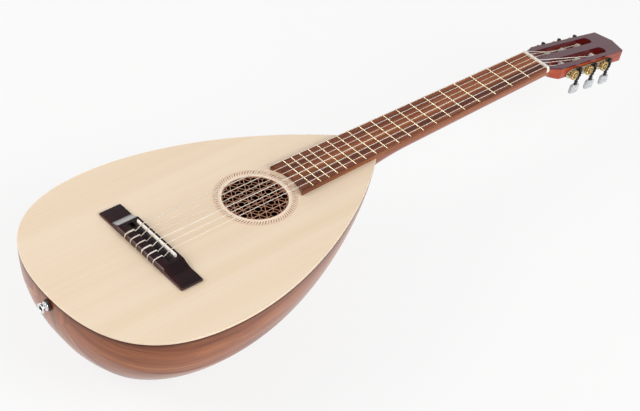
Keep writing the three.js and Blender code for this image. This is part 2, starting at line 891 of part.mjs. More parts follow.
function makeBridge() {
  const block = slab(bridgeShape(), bridgeStart, bridgeEnd, 5).rotateX(Math.PI / 2).rotateZ(Math.PI / 2);
  const slotHeight = bridgeHeight + overrun - saddleSlotFloor;
  const saddleSlot = box(
    [saddleThickness + glueGap, saddleLength + 2 * glueGap, slotHeight],
    [saddlePlace, 0, saddleSlotFloor + slotHeight / 2],
  );
  const channelHeight = bridgeHeight + overrun - channelFloor;
  const channelEnd = tieFront - saddlePlace;
  const channel = box(
    [channelEnd - channelStart, bridgeRaisedLength - bridgeScoopLength / 2, channelHeight],
    [saddlePlace + (channelStart + channelEnd) / 2, 0, channelFloor + channelHeight / 2],
  );
  const holes = stringRadii.map((_, i) =>
    rodAlongX(
      tieHoleRadius,
      tieFront - overrun,
      bridgeEnd + overrun,
      tieHoleSegments,
      stringAcross(i, stringSpreadAtSaddle),
      tieHoleHeight,
    ),
  );
  return cut(block, saddleSlot, channel, ...holes);
}

function makeNeckPieces() {
  addPiece("neck", makeNeck(), mahogany);
  addPiece("fingerboard", makeFingerboard(), rosewood);
  addPiece("nut", makeNut(), bone);
  addPiece("bridge", makeBridge(), blackwood);
  addPiece("saddle", makeSaddle(), bone);
}

// Head

function headHalfWidth(place) {
  if (place < headEarPlace) return lerp(headRootWidth, headEarWidth, smooth(place / headEarPlace)) / 2;
  return lerp(headEarWidth, headTipWidth, (place - headEarPlace) / (headLength - headEarPlace)) / 2;
}

function headOutline(start) {
  const places = range(headRootSteps + 1).map((i) => (headEarPlace * i) / headRootSteps);
  const treble = [...places.filter((s) => s >= start), headLength].map((s) => [-s, headHalfWidth(s)]);
  const bass = [...treble].reverse().map(([x, y]) => [x, -y]);
  return outlineShape([...treble, [-headLength - headPoint, 0], ...bass]);
}

// The long slot on one side, with the ramp that leads the strings down into it.
function slotCutters(side) {
  const radius = (slotOuter - slotInner) / 2;
  const middle = (side * (slotOuter + slotInner)) / 2;
  const shape = new THREE.Shape();
  shape.moveTo(-slotStart, middle - radius);
  shape.lineTo(-slotStart, middle + radius);
  shape.lineTo(-slotEnd + radius, middle + radius);
  shape.absarc(-slotEnd + radius, middle, radius, Math.PI / 2, (3 * Math.PI) / 2, false);
  const through = slab(shape, -headThickness - overrun, overrun, slotSegments);
  const wedge = outlineShape([
    [-rampStart, 0],
    [-rampStart, overrun],
    [-slotStart - overrun, overrun],
    [-slotStart - overrun, -rampDepth],
    [-slotStart, -rampDepth],
  ]);
  const ramp = slab(wedge, -radius, radius).rotateX(Math.PI / 2).translate(0, middle, 0);
  return [through, ramp];
}

const allSlots = [...slotCutters(1), ...slotCutters(-1)];

// Behind the nut the wood changes from the neck's round section to the head's square one.
function headRoot() {
  const top = -veneerThickness - glueGap;
  const depth = headThickness + top;
  const rings = range(headRootSteps + 1).map((i) => {
    const share = i / headRootSteps;
    const power = lerp(headRootPower, headEarPower, share ** 2);
    const place = headEarPlace * share;
    return halfSection(headHalfWidth(place), depth, power, neckCrossSteps + 4).map(
      ([y, z]) => new THREE.Vector3(-place, y, top + z),
    );
  });
  return loft(rings);
}

// The room that the head leaves for the back of the nut.
function nutSeat() {
  const reach = headEarWidth;
  const seat = box([reach, reach, reach], [-nutThickness - glueGap + reach / 2, 0, -glueGap + reach / 2]);
  return seat.applyMatrix4(head.matrix.clone().invert());
}

function makeHeadstock() {
  const top = -veneerThickness - glueGap;
  const plank = slab(headOutline(headEarPlace), -headThickness, top);
  const bores = tunerSides.flatMap((side) => tunerPlaces.map((place) => postBore(side, place)));
  return cut(join(plank, headRoot()), nutSeat(), ...allSlots, ...bores);
}

function makeVeneer() {
  return cut(slab(headOutline(0), -veneerThickness, 0), nutSeat(), ...allSlots);
}

function makeHead() {
  addPiece("headstock", makeHeadstock(), mahogany, head);
  addPiece("head_veneer", makeVeneer(), blackwood, head);
}

// Tuners

const tunerSides = [1, -1];
const tunerPlaces = [0, 1, 2].map((i) => firstRoller + i * rollerPitch);
const plateFace = glueGap + plateThickness;
const gearRadius = (gearModule * gearTeeth) / 2;
const shaftDistance = gearRadius + wormPitchRadius;
const plateMiddle = firstRoller + rollerPitch + shaftDistance / 2;
const wormPitch = Math.PI * gearModule;
const wormHalf = (wormTurns * wormPitch) / 2;
const earLow = wormHalf + runningGap;
const earHigh = earLow + earThickness;

// The frame of one side's tuners: x along the head's edge towards the nut, y out, z up.
function makeSideFrame(side) {
  const frame = new THREE.Group();
  const taper = Math.atan((headEarWidth - headTipWidth) / 2 / (headLength - headEarPlace));
  frame.position.set(-plateMiddle, side * headHalfWidth(plateMiddle), -plateDrop);
  frame.rotation.z = side * taper;
  frame.scale.y = side;
  frame.updateMatrix();
  head.add(frame);
  return frame;
}

const sideFrames = new Map(tunerSides.map((side) => [side, makeSideFrame(side)]));

// Where a place along the head is in the side's frame.
function sidePlace(place) {
  return plateMiddle - place;
}

function slotWalls(place) {
  const edge = headHalfWidth(place);
  return { outer: slotOuter - edge, inner: slotInner - edge };
}

function postBore(side, place) {
  const { inner } = slotWalls(place);
  const radius = postRadius + runningGap;
  const bore = rodAlongY(radius, inner - postSocket, overrun, boreSegments, sidePlace(place), 0);
  return bore.applyMatrix4(sideFrames.get(side).matrix);
}

// The plate's half height: a leaf at each end, and a waist between two tuners.
function plateHalfHeight(x) {
  const leafShare = Math.min((plateLength / 2 - Math.abs(x)) / plateLeaf, 1);
  const leaf = Math.sin((Math.PI / 2) * leafShare) ** plateLeafPower;
  const beside = (1 - Math.cos((2 * Math.PI * x) / rollerPitch)) / 2;
  return (plateHeight / 2) * leaf * (1 - plateWaist * beside ** 2 * leafShare);
}

function plateSheet() {
  const places = range(plateSteps + 1).map((i) => {
    return (-plateLength / 2) * Math.cos((Math.PI * i) / plateSteps);
  });
  const inner = places.slice(1, -1);
  const upper = inner.map((x) => new THREE.Vector2(x, plateHalfHeight(x)));
  const lower = inner.map((x) => new THREE.Vector2(x, -plateHalfHeight(x)));
  const [tip, foot] = [places[0], places[plateSteps]].map((x) => new THREE.Vector2(x, 0));
  const shape = new THREE.Shape([tip, ...lower, foot, ...upper.reverse()]);
  return slab(shape, glueGap, plateFace, 1).rotateX(Math.PI / 2).scale(1, -1, 1);
}

// The plate, with two ears for each worm shaft.
function makePlate() {
  const ears = [];
  const holes = [];
  const reach = wormStandOff + earReach;
  for (const place of tunerPlaces) {
    const x = sidePlace(place);
    holes.push(rodAlongY(postRadius + runningGap, -overrun, plateFace + overrun, boreSegments, x, 0));
    const shaftX = x - shaftDistance;
    const root = glueGap + plateThickness / 2;
    const end = plateFace + reach;
    for (const side of [1, -1]) {
      const middle = (side * (earLow + earHigh)) / 2;
      ears.push(box([earWidth, end - root, earThickness], [shaftX, (root + end) / 2, middle]));
    }
    const half = earHigh + overrun;
    const radius = shaftRadius + runningGap;
    holes.push(rodAlongZ(radius, -half, half, boreSegments, shaftX, plateFace + wormStandOff));
  }
  return cut(join(plateSheet(), ...ears), ...holes);
}

// One section of the worm: its thread stands out to one side, at the given turn.
function wormSection(turn, z) {
  const tip = wormPitchRadius + wormAddendum;
  const root = wormPitchRadius - wormDedendum;
  const halfTip = (wormThread / 2 - wormAddendum * flankSlope) / wormPitch;
  const halfRoot = (wormThread / 2 + wormDedendum * flankSlope) / wormPitch;
  const behind = lerp(halfRoot, 0.5, wormBackShare);
  const corners = [
    [-halfTip, tip],
    [halfTip, tip],
    [(halfTip + halfRoot) / 2, (tip + root) / 2],
    [halfRoot, root],
    [behind, root],
    [-behind, root],
    [-halfRoot, root],
    [-(halfTip + halfRoot) / 2, (tip + root) / 2],
  ];
  return corners.map(([share, radius]) => {
    const angle = 2 * Math.PI * (share + turn);
    return new THREE.Vector3(radius * Math.cos(angle), radius * Math.sin(angle), z);
  });
}

const wormPoints = wormSection(0, 0).length;

function shaftSection(radius, z, turn) {
  return range(wormPoints).map((i) => {
    const angle = 2 * Math.PI * (turn + (i - 0.5) / wormPoints);
    return new THREE.Vector3(radius * Math.cos(angle), radius * Math.sin(angle), z);
  });
}

// The worm on its shaft, with the turned sleeve that carries the button below.
function makeWorm() {
  const steps = wormTurns * wormStepsPerTurn;
  const topTurn = wormHalf / wormPitch;
  const sleeveTop = -earHigh - runningGap;
  const sleeveEnd = buttonTop + glueGap;
  const socketEnd = buttonTop - buttonSocket + glueGap;
  const lower = [
    shaftSection(shaftRadius, socketEnd, -topTurn),
    shaftSection(shaftRadius, sleeveEnd, -topTurn),
    ...sleeveTurns.map(([share, radius]) => {
      return shaftSection(radius, lerp(sleeveEnd, sleeveTop, share), -topTurn);
    }),
    shaftSection(shaftRadius, sleeveTop, -topTurn),
    shaftSection(shaftRadius, -wormHalf, -topTurn),
  ];
  const thread = range(steps + 1).map((i) => {
    const z = lerp(-wormHalf, wormHalf, i / steps);
    return wormSection(z / wormPitch, z);
  });
  const upper = [wormHalf, shaftTop].map((z) => shaftSection(shaftRadius, z, topTurn));
  return loft([...lower, ...thread, ...upper]);
}

// The gear: teeth that lean like the worm's thread, on a collar and a post that runs through the roller.
function makeGear(place) {
  const middle = plateFace + wormStandOff;
  const tip = gearRadius + gearAddendum;
  const root = gearRadius - gearDedendum;
  const halfTip = (gearTooth / 2 - gearAddendum * flankSlope) / gearRadius;
  const halfRoot = (gearTooth / 2 + gearDedendum * flankSlope) / gearRadius;
  const lean = wormPitch / (2 * Math.PI * wormPitchRadius) / gearRadius;
  const ring = (y) =>
    range(gearTeeth).flatMap((tooth) => {
      const centre = Math.PI + ((tooth + 0.5) * 2 * Math.PI) / gearTeeth - lean * (y - middle);
      return [
        [-halfRoot, root],
        [-halfTip, tip],
        [halfTip, tip],
        [halfRoot, root],
      ].map(([turn, radius]) => {
        const angle = centre + turn;
        return new THREE.Vector3(radius * Math.cos(angle), y, radius * Math.sin(angle));
      });
    });
  const wheel = loft([ring(middle - gearWidth / 2), ring(middle + gearWidth / 2)]);
  const collar = rodAlongY(2 * postRadius, plateFace + runningGap, middle, boreSegments);
  const { inner } = slotWalls(place);
  const post = rodAlongY(postRadius, inner - postSocket + runningGap, middle, boreSegments);
  return join(wheel, collar, post);
}

function makeRoller(place) {
  const { outer, inner } = slotWalls(place);
  const [start, end] = [inner + rollerEndGap, outer - rollerEndGap];
  const sleeve = rodAlongY(rollerRadius, start, end, rollerSegments);
  return cut(sleeve, rodAlongY(rollerBore, start - overrun, end + overrun, boreSegments));
}

function makeButton() {
  const rings = buttonShares.map(([width, thickness, drop]) =>
    range(buttonSegments).map((i) => {
      const angle = (2 * Math.PI * i) / buttonSegments;
      return new THREE.Vector3(
        (buttonWidth / 2) * width * signedPower(Math.cos(angle), buttonPower),
        (buttonThickness / 2) * thickness * signedPower(Math.sin(angle), buttonPower),
        -buttonHeight * drop,
      );
    }),
  );
  return cut(loft(rings), rodAlongZ(shaftRadius + glueGap, -buttonSocket, overrun, boreSegments));
}

function makeTuner(side, index) {
  const frame = sideFrames.get(side);
  const place = tunerPlaces[index];
  const number = side > 0 ? index + 1 : stringRadii.length - index;
  const shaft = new THREE.Vector3(sidePlace(place) - shaftDistance, plateFace + wormStandOff, 0);
  addPiece(`worm_${number}`, makeWorm(), blackSteel, frame).position.copy(shaft);
  addPiece(`button_${number}`, makeButton(), pearl, frame).position.set(shaft.x, shaft.y, buttonTop);
  addPiece(`gear_${number}`, makeGear(place), brass, frame).position.x = sidePlace(place);
  addPiece(`roller_${number}`, makeRoller(place), bone, frame).position.x = sidePlace(place);
}

function makeTuners() {
  addPiece("tuner_plate_treble", makePlate(), brass, sideFrames.get(1));
  addPiece("tuner_plate_bass", makePlate(), brass, sideFrames.get(-1));
  for (const side of tunerSides) for (const index of range(tunerPlaces.length)) makeTuner(side, index);
}

// Strings

// A tube along points, each section square to the path there.
function tube(points, radius) {
  const tangents = points.map((p, i) => {
    const before = points[Math.max(i - 1, 0)];
    const after = points[Math.min(i + 1, points.length - 1)];
    const back = p.clone().sub(before).normalize();
    const ahead = after.clone().sub(p).normalize();
    return back.add(ahead).normalize();
  });
  const normal = new THREE.Vector3(0, 1, 0);
  const rings = points.map((p, i) => {
    normal.addScaledVector(tangents[i], -normal.dot(tangents[i])).normalize();
    const side = tangents[i].clone().cross(normal);
    return range(stringSides).map((j) => {
      const angle = (2 * Math.PI * j) / stringSides;
      const point = p.clone().addScaledVector(normal, radius * Math.cos(angle));
      return point.addScaledVector(side, radius * Math.sin(angle));
    });
  });
  return loft(rings);
}

// Corners turned into short curves, each with its own reach.
function roundedPath(corners, bends) {
  const path = [corners[0]];
  for (let i = 1; i < corners.length - 1; i += 1) {
    const corner = corners[i];
    const bend = bends[i] ?? tieBend;
    const before = corner.clone().add(corners[i - 1].clone().sub(corner).setLength(bend));
    const after = corner.clone().add(corners[i + 1].clone().sub(corner).setLength(bend));
    path.push(...new THREE.QuadraticBezierCurve3(before, corner, after).getPoints(bendSteps));
  }
  return [...path, corners.at(-1)];
}

// Once through the tie block, back over its top and down in front of it.
function tieCorners(index, radius) {
  const y = stringAcross(index, stringSpreadAtSaddle);
  const lift = bridgeHeight + glueGap + radius;
  const front = tieFront - tieStandOff;
  const back = bridgeEnd + tieStandOff;
  return [
    new THREE.Vector3(front, y - tieSideStep, tieHoleHeight + tieStandOff),
    new THREE.Vector3(front, y - tieSideStep, lift),
    new THREE.Vector3(back, y, lift),
    new THREE.Vector3(back, y, tieHoleHeight),
    new THREE.Vector3(front, y, tieHoleHeight),
    new THREE.Vector3(saddlePlace, y, saddleTop + glueGap + radius),
  ];
}

// The winding on a roller, in the frame of its side: it meets the string coming from the nut at a tangent.
function windingPoints(nutPoint, index, radius) {
  const reach = rollerRadius + glueGap + radius;
  const x = sidePlace(tunerPlaces[index]);
  const distance = Math.hypot(nutPoint.x - x, nutPoint.z);
  const fall = Math.atan2(nutPoint.z, nutPoint.x - x) - Math.asin(reach / distance);
  const pitch = 2 * radius + windGap;
  const { outer } = slotWalls(tunerPlaces[index]);
  return range(windTurns * windStepsPerTurn + 1).map((i) => {
    const turn = i / windStepsPerTurn;
    const angle = Math.PI / 2 + fall + 2 * Math.PI * turn;
    const y = outer - windInsets[index] - pitch * turn;
    return new THREE.Vector3(x + reach * Math.cos(angle), y, reach * Math.sin(angle));
  });
}

// The least gap between parts of a string that are more than half a turn apart along it.
function leastGap(points, radius) {
  const spaced = [];
  const step = 0.5;
  for (let i = 0; i < points.length - 1; i += 1) {
    const count = Math.ceil(points[i].distanceTo(points[i + 1]) / step);
    for (const k of range(count)) spaced.push(points[i].clone().lerp(points[i + 1], k / count));
  }
  const along = [0];
  for (let i = 1; i < spaced.length; i += 1) along.push(along[i - 1] + spaced[i].distanceTo(spaced[i - 1]));
  const apart = Math.PI * rollerRadius;
  let least = Infinity;
  for (let i = 0; i < spaced.length; i += 1)
    for (let j = i + 1; j < spaced.length; j += 1)
      if (along[j] - along[i] > apart) least = Math.min(least, spaced[i].distanceTo(spaced[j]));
  return least - 2 * radius;
}

function makeString(index) {
  const radius = stringRadii[index];
  const last = stringRadii.length - 1;
  const side = index < last / 2 ? 1 : -1;
  const rollerIndex = side > 0 ? index : last - index;
  const frame = sideFrames.get(side);
  const toGuitar = head.matrix.clone().multiply(frame.matrix);
  const overNut = new THREE.Vector3(
    -nutBreak,
    stringAcross(index, stringSpreadAtNut),
    nutFloor + glueGap + radius,
  );
  const nutInSide = overNut.clone().applyMatrix4(toGuitar.clone().invert());
  const winding = windingPoints(nutInSide, rollerIndex, radius).map((p) => p.applyMatrix4(toGuitar));
  const corners = [...tieCorners(index, radius), overNut, winding[0]];
  const bends = { [corners.length - 3]: saddleBend, [corners.length - 2]: nutBend };
  const start = roundedPath(corners, bends);
  const path = [...start.slice(0, -1), ...winding];
  console.log(`string_${index + 1}: least gap to itself ${leastGap(path, radius).toFixed(2)} mm`);
  return tube(path, radius);
}

function makeStrings() {
  stringRadii.forEach((_, i) => addPiece(`string_${i + 1}`, makeString(i), i < 3 ? nylon : woundString));
}

// End-pin jack

function makeJack() {
  const tip = tailEnd + jackReach;
  const profile = [
    [jackBoreRadius, tailEnd - jackInside],
    [jackRadius, tailEnd - jackInside],
    [jackRadius, tip - 2 * jackFlangeThickness],
    [jackFlangeRadius, tip - jackFlangeThickness],
    [jackFlangeRadius, tip],
    [jackBoreRadius, tip],
    [jackBoreRadius, tailEnd - jackInside],
  ].map(([radius, x]) => new THREE.Vector2(radius, x));
  return new THREE.LatheGeometry(profile, jackSegments).rotateZ(-Math.PI / 2).translate(0, 0, -jackDrop);
}

function makeJackWasher() {
  const start = tailEnd + glueGap;
  const end = start + washerThickness;
  const disc = rodAlongX(washerRadius, start, end, jackSegments, 0, -jackDrop);
  const radius = jackRadius + glueGap;
  return cut(disc, rodAlongX(radius, start - overrun, end + overrun, jackSegments, 0, -jackDrop));
}

makeBody();
makeTable();
makeNeckPieces();
makeHead();
makeTuners();
makeStrings();
addPiece("endpin_jack", makeJack(), chrome);
addPiece("jack_washer", makeJackWasher(), chrome);

// The origin goes under the middle of the outline, at the lowest point.
guitar.updateMatrixWorld(true);
const bounds = new THREE.Box3().setFromObject(guitar, true);
guitar.position.set(-(bounds.min.x + bounds.max.x) / 2, 0, -bounds.min.z);

export default guitar;
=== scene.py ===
import math

import bmesh
import bpy
from mathutils import Matrix, Vector


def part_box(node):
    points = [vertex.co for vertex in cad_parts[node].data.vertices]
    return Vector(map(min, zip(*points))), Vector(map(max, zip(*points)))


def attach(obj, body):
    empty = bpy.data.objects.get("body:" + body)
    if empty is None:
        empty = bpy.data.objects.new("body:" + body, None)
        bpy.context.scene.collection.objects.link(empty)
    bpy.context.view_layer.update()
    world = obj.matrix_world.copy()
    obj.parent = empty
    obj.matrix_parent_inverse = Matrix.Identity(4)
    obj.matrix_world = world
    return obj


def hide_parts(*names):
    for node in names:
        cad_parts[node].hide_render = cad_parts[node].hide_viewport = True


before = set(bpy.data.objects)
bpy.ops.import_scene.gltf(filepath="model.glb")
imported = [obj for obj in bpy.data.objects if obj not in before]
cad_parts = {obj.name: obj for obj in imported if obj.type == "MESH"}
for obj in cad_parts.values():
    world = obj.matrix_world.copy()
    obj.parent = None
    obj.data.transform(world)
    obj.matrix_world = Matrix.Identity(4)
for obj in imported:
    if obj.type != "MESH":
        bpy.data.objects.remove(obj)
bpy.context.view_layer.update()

# Pieces are laid out in millimetres with x = 0 at the nut, z = 0 on the table, +X to the tail.
mm = 0.001

layout = {
    "scaleLength": 650,
    "fretCount": 19,
    "bodyStart": 325,
    "bodyLength": 478.3,
    "widestFromNeck": 319.3,
    "halfBody": 160.35,
    "neckEndWidth": 58,
    "nutWidth": 48,
    "nutThickness": 5,
    "fingerboardThickness": 7.2,
    "fretHeight": 1.2,
    "seatGap": 0.3,
}
tailEnd = layout["bodyStart"] + layout["bodyLength"]
widestPlace = layout["bodyStart"] + layout["widestFromNeck"]
nutThickness = layout["nutThickness"]
boardTop = layout["fingerboardThickness"]
seatGap = layout["seatGap"]

back = {
    "rimHeight": -4.4, "depth": 137.5, "depthPower": 1.05, "sectionPower": 2.2, "staves": 7, "thickness": 3,
    "crownShare": 0.7, "seam": 0.06, "capWidth": 74, "acrossSteps": 10,
}

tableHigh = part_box("soundboard")[1]
layoutOrigin = Vector((tableHigh.x - tailEnd * mm, 0, tableHigh.z))
roseLow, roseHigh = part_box("rose")
holeCentre = ((roseLow.x + roseHigh.x) / 2 - layoutOrigin.x) / mm


# Numbers and points

def lerp(a, b, share):
    return a + (b - a) * share


def smooth(share):
    s = min(max(share, 0), 1)
    return s * s * (3 - 2 * s)


def signedPower(value, power):
    return math.copysign(abs(value) ** power, value)


def spaced(start, end, steps):
    return [lerp(start, end, i / steps) for i in range(steps + 1)]


def curveThrough(knots, share):
    # a smooth line through evenly placed knots, share from 0 to 1
    at = min(max(share, 0), 1) * (len(knots) - 1)
    i = min(int(at), len(knots) - 2)
    t = at - i
    a, b, c, d = knots[max(i - 1, 0)], knots[i], knots[i + 1], knots[min(i + 2, len(knots) - 1)]
    return 0.5 * (2 * b + (c - a) * t + (2 * a - 5 * b + 4 * c - d) * t * t + (3 * b - a - 3 * c + d) * t**3)


# Meshes as (points, faces), in millimetres

def loft(rings, closedWay=False):
    count = len(rings[0])
    points = [Vector(p) for ring in rings for p in ring]
    faces = []
    pairs = list(zip(range(len(rings) - 1), range(1, len(rings))))
    if closedWay:
        pairs.append((len(rings) - 1, 0))
    for a, b in pairs:
        for j in range(count):
            k = (j + 1) % count
            faces.append((a * count + j, a * count + k, b * count + k, b * count + j))
    if not closedWay:
        faces.append(tuple(reversed(range(count))))
        faces.append(tuple(range((len(rings) - 1) * count, len(rings) * count)))
    return points, faces


def joined(*shapes):
    points, faces = [], []
    for shapePoints, shapeFaces in shapes:
        start = len(points)
        points += shapePoints
        faces += [tuple(start + i for i in face) for face in shapeFaces]
    return points, faces


def moved(shape, matrix):
    return [matrix @ Vector(p) for p in shape[0]], shape[1]


def ringAt(radius, z, segments, centre=(0, 0)):
    angles = [2 * math.pi * i / segments for i in range(segments)]
    return [(centre[0] + radius * math.cos(a), centre[1] + radius * math.sin(a), z) for a in angles]


def turned(profile, segments=48):
    # a solid of revolution round Z from (radius, z) stops; the ends close on the axis
    return loft([ringAt(max(radius, 0.01), z, segments) for radius, z in profile])


def turnedRing(profile, segments=64):
    # a closed profile that doesn't reach the axis
    return loft([ringAt(radius, z, segments) for radius, z in profile], closedWay=True)


def inset(outline, distance):
    # a closed flat outline, counter-clockwise, drawn in by a distance
    count = len(outline)
    result = []
    for i, (x, y) in enumerate(outline):
        ax, ay = outline[i - 1]
        bx, by = outline[(i + 1) % count]
        first = Vector((x - ax, y - ay)).normalized()
        second = Vector((bx - x, by - y)).normalized()
        n1, n2 = Vector((-first.y, first.x)), Vector((-second.y, second.x))
        bisector = (n1 + n2) / max(1 + n1.dot(n2), 0.3)
        result.append((x + bisector.x * distance, y + bisector.y * distance))
    return result


def slab(outline, low, high, edge=0.0, steps=3, bothEdges=False):
    # an outline raised from low to high, with its top edge, or both, rounded by edge
    def layer(distance, z):
        return [(x, y, z) for x, y in (inset(outline, distance) if distance else outline)]
    arcs = [math.pi / 2 * i / steps for i in range(steps + 1)] if edge else [0]
    top = [layer(edge * (1 - math.cos(a)), high - edge * (1 - math.sin(a))) for a in arcs]
    bottom = [layer(0, low)]
    if bothEdges and edge:
        bottom = [layer(edge * (1 - math.cos(a)), low + edge * (1 - math.sin(a))) for a in reversed(arcs)]
    return loft(bottom + top)


def boxShape(low, high):
    (x0, y0, z0), (x1, y1, z1) = low, high
    return loft([[(x, y0, z0), (x, y1, z0), (x, y1, z1), (x, y0, z1)] for x in (x0, x1)])


def tube(path, radius, sides=12):
    points = [Vector(p) for p in path]
    normal = Vector((0, 1, 0))
    rings = []
    for i, p in enumerate(points):
        before, after = points[max(i - 1, 0)], points[min(i + 1, len(points) - 1)]
        tangent = (after - before).normalized()
        normal = (normal - tangent * normal.dot(tangent)).normalized()
        side = tangent.cross(normal)
        r = radius(i / (len(points) - 1)) if callable(radius) else radius
        ring = []
        for j in range(sides):
            a = 2 * math.pi * j / sides
            ring.append(p + (normal * math.cos(a) + side * math.sin(a)) * r)
        rings.append(ring)
    return loft(rings)


def scratchObject(shape):
    mesh = bpy.data.meshes.new("scratch")
    mesh.from_pydata([tuple(p) for p in shape[0]], [], shape[1])
    work = bmesh.new()
    work.from_mesh(mesh)
    bmesh.ops.recalc_face_normals(work, faces=work.faces)
    work.to_mesh(mesh)
    work.free()
    scratch = bpy.data.objects.new("scratch", mesh)
    bpy.context.scene.collection.objects.link(scratch)
    return scratch


def carved(shape, *cutters, operation="DIFFERENCE"):
    # the shape with each cutter taken out of it, or joined to it
    for cutter in cutters:
        target, tool = scratchObject(shape), scratchObject(cutter)
        modifier = target.modifiers.new("carve", "BOOLEAN")
        modifier.operation = operation
        modifier.solver = "EXACT"
        modifier.object = tool
        graph = bpy.context.evaluated_depsgraph_get()
        result = bpy.data.meshes.new_from_object(target.evaluated_get(graph))
        shape = [v.co.copy() for v in result.vertices], [tuple(f.vertices) for f in result.polygons]
        for used in (target, tool):
            bpy.data.objects.remove(used)
    return shape


def softened(shape, width, segments=2, sharpest=35):
    # edges sharper than the angle, in degrees, rounded by width
    scratch = scratchObject(shape)
    work = bmesh.new()
    work.from_mesh(scratch.data)
    bmesh.ops.dissolve_limit(
        work, angle_limit=math.radians(1), verts=work.verts, edges=work.edges, delimit={"NORMAL"}
    )
    limit = math.radians(sharpest)
    edges = [e for e in work.edges if e.is_manifold and e.calc_face_angle(0) > limit]
    bmesh.ops.bevel(
        work, geom=edges, offset=width, segments=segments, profile=0.5, affect="EDGES", clamp_overlap=True
    )
    work.to_mesh(scratch.data)
    work.free()
    mesh = scratch.data
    shape = [v.co.copy() for v in mesh.vertices], [tuple(f.vertices) for f in mesh.polygons]
    bpy.data.objects.remove(scratch)
    return shape


def makePiece(
    name, shape, material, replaces=(), body="instrument", grain=None, sharpest=40, second=None, where=None,
):
    # grain gives each point's place along and across the wood, in millimetres;
    # second is a material for the faces that where(centre, normal) picks
    mesh = bpy.data.meshes.new(name)
    mesh.from_pydata([layoutOrigin + Vector(p) * mm for p in shape[0]], [], shape[1])
    work = bmesh.new()
    work.from_mesh(mesh)
    bmesh.ops.recalc_face_normals(work, faces=work.faces)
    work.to_mesh(mesh)
    work.free()
    mesh.polygons.foreach_set("use_smooth", [True] * len(mesh.polygons))
    mesh.set_sharp_from_angle(angle=math.radians(sharpest))
    if grain:
        layer = mesh.uv_layers.new(name="grain")
        for loop in mesh.loops:
            along, across = grain[loop.vertex_index]
            layer.data[loop.index].uv = (along * mm, across * mm)
    mesh.materials.append(material)
    if second:
        mesh.materials.append(second)
        for face in mesh.polygons:
            face.material_index = int(where((face.center - layoutOrigin) / mm, face.normal))
    piece = bpy.data.objects.new(name, mesh)
    bpy.context.scene.collection.objects.link(piece)
    even = piece.modifiers.new("flat faces stay flat", "WEIGHTED_NORMAL")
    even.keep_sharp = True
    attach(piece, body)
    if replaces:
        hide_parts(*replaces)
    return piece


# Materials

def hexColour(text):
    # an sRGB hex colour as linear red, green, blue and alpha
    parts = [int(text[i : i + 2], 16) / 255 for i in (1, 3, 5)]
    linear = [c / 12.92 if c <= 0.04045 else ((c + 0.055) / 1.055) ** 2.4 for c in parts]
    return (*linear, 1)


def addNode(tree, kind, settings, inputs):
    node = tree.nodes.new("ShaderNode" + kind)
    for name, value in settings.items():
        if name == "stops":
            ramp = node.color_ramp
            ramp.elements[0].position = value[0][0]
            ramp.elements[-1].position = value[-1][0]
            for position, _ in value[1:-1]:
                ramp.elements.new(position)
            for element, (_, colour) in zip(ramp.elements, value):
                element.color = hexColour(colour)
        else:
            setattr(node, name, value)
    for name, value in inputs.items():
        if isinstance(value, bpy.types.NodeSocket):
            tree.links.new(value, node.inputs[name])
        else:
            node.inputs[name].default_value = value
    return node


def newMaterial(name):
    material = bpy.data.materials.new(name)
    material.use_nodes = True
    material.node_tree.nodes.clear()
    return material, material.node_tree


def setSurface(tree, shader):
    addNode(tree, "OutputMaterial", {}, {"Surface": shader.outputs[0]})


def combine(tree, operation, *values):
    # the result of one arithmetic node
    return addNode(tree, "Math", {"operation": operation}, dict(enumerate(values))).outputs[0]


def blended(tree, share, first, second):
    # a colour between two others
    return addNode(tree, "Mix", {"data_type": "RGBA"}, {0: share, 6: first, 7: second}).outputs[2]


def ramp(tree, stops, share):
    return addNode(tree, "ValToRGB", {"stops": stops}, {"Fac": share}).outputs[0]


def objectPlace(tree):
    return addNode(tree, "TexCoord", {}, {}).outputs["Object"]


def noiseAt(tree, place, scale, detail, **more):
    return addNode(tree, "TexNoise", {}, {"Vector": place, "Scale": scale, "Detail": detail, **more})


def stretched(tree, place, along, across, detail, **more):
    # noise drawn out along the first coordinate, with its grain's size in metres
    scale = (1 / along, 1 / across, 1 / across)
    drawn = addNode(tree, "Mapping", {}, {"Vector": place, "Scale": scale})
    return noiseAt(tree, drawn.outputs[0], 1, detail, **more).outputs["Fac"]


woodRelief = 0.05  # millimetres from pore to surface
roughnessSwing = 0.06
growthStretch = 6  # how much longer the growth lines run than the streaks


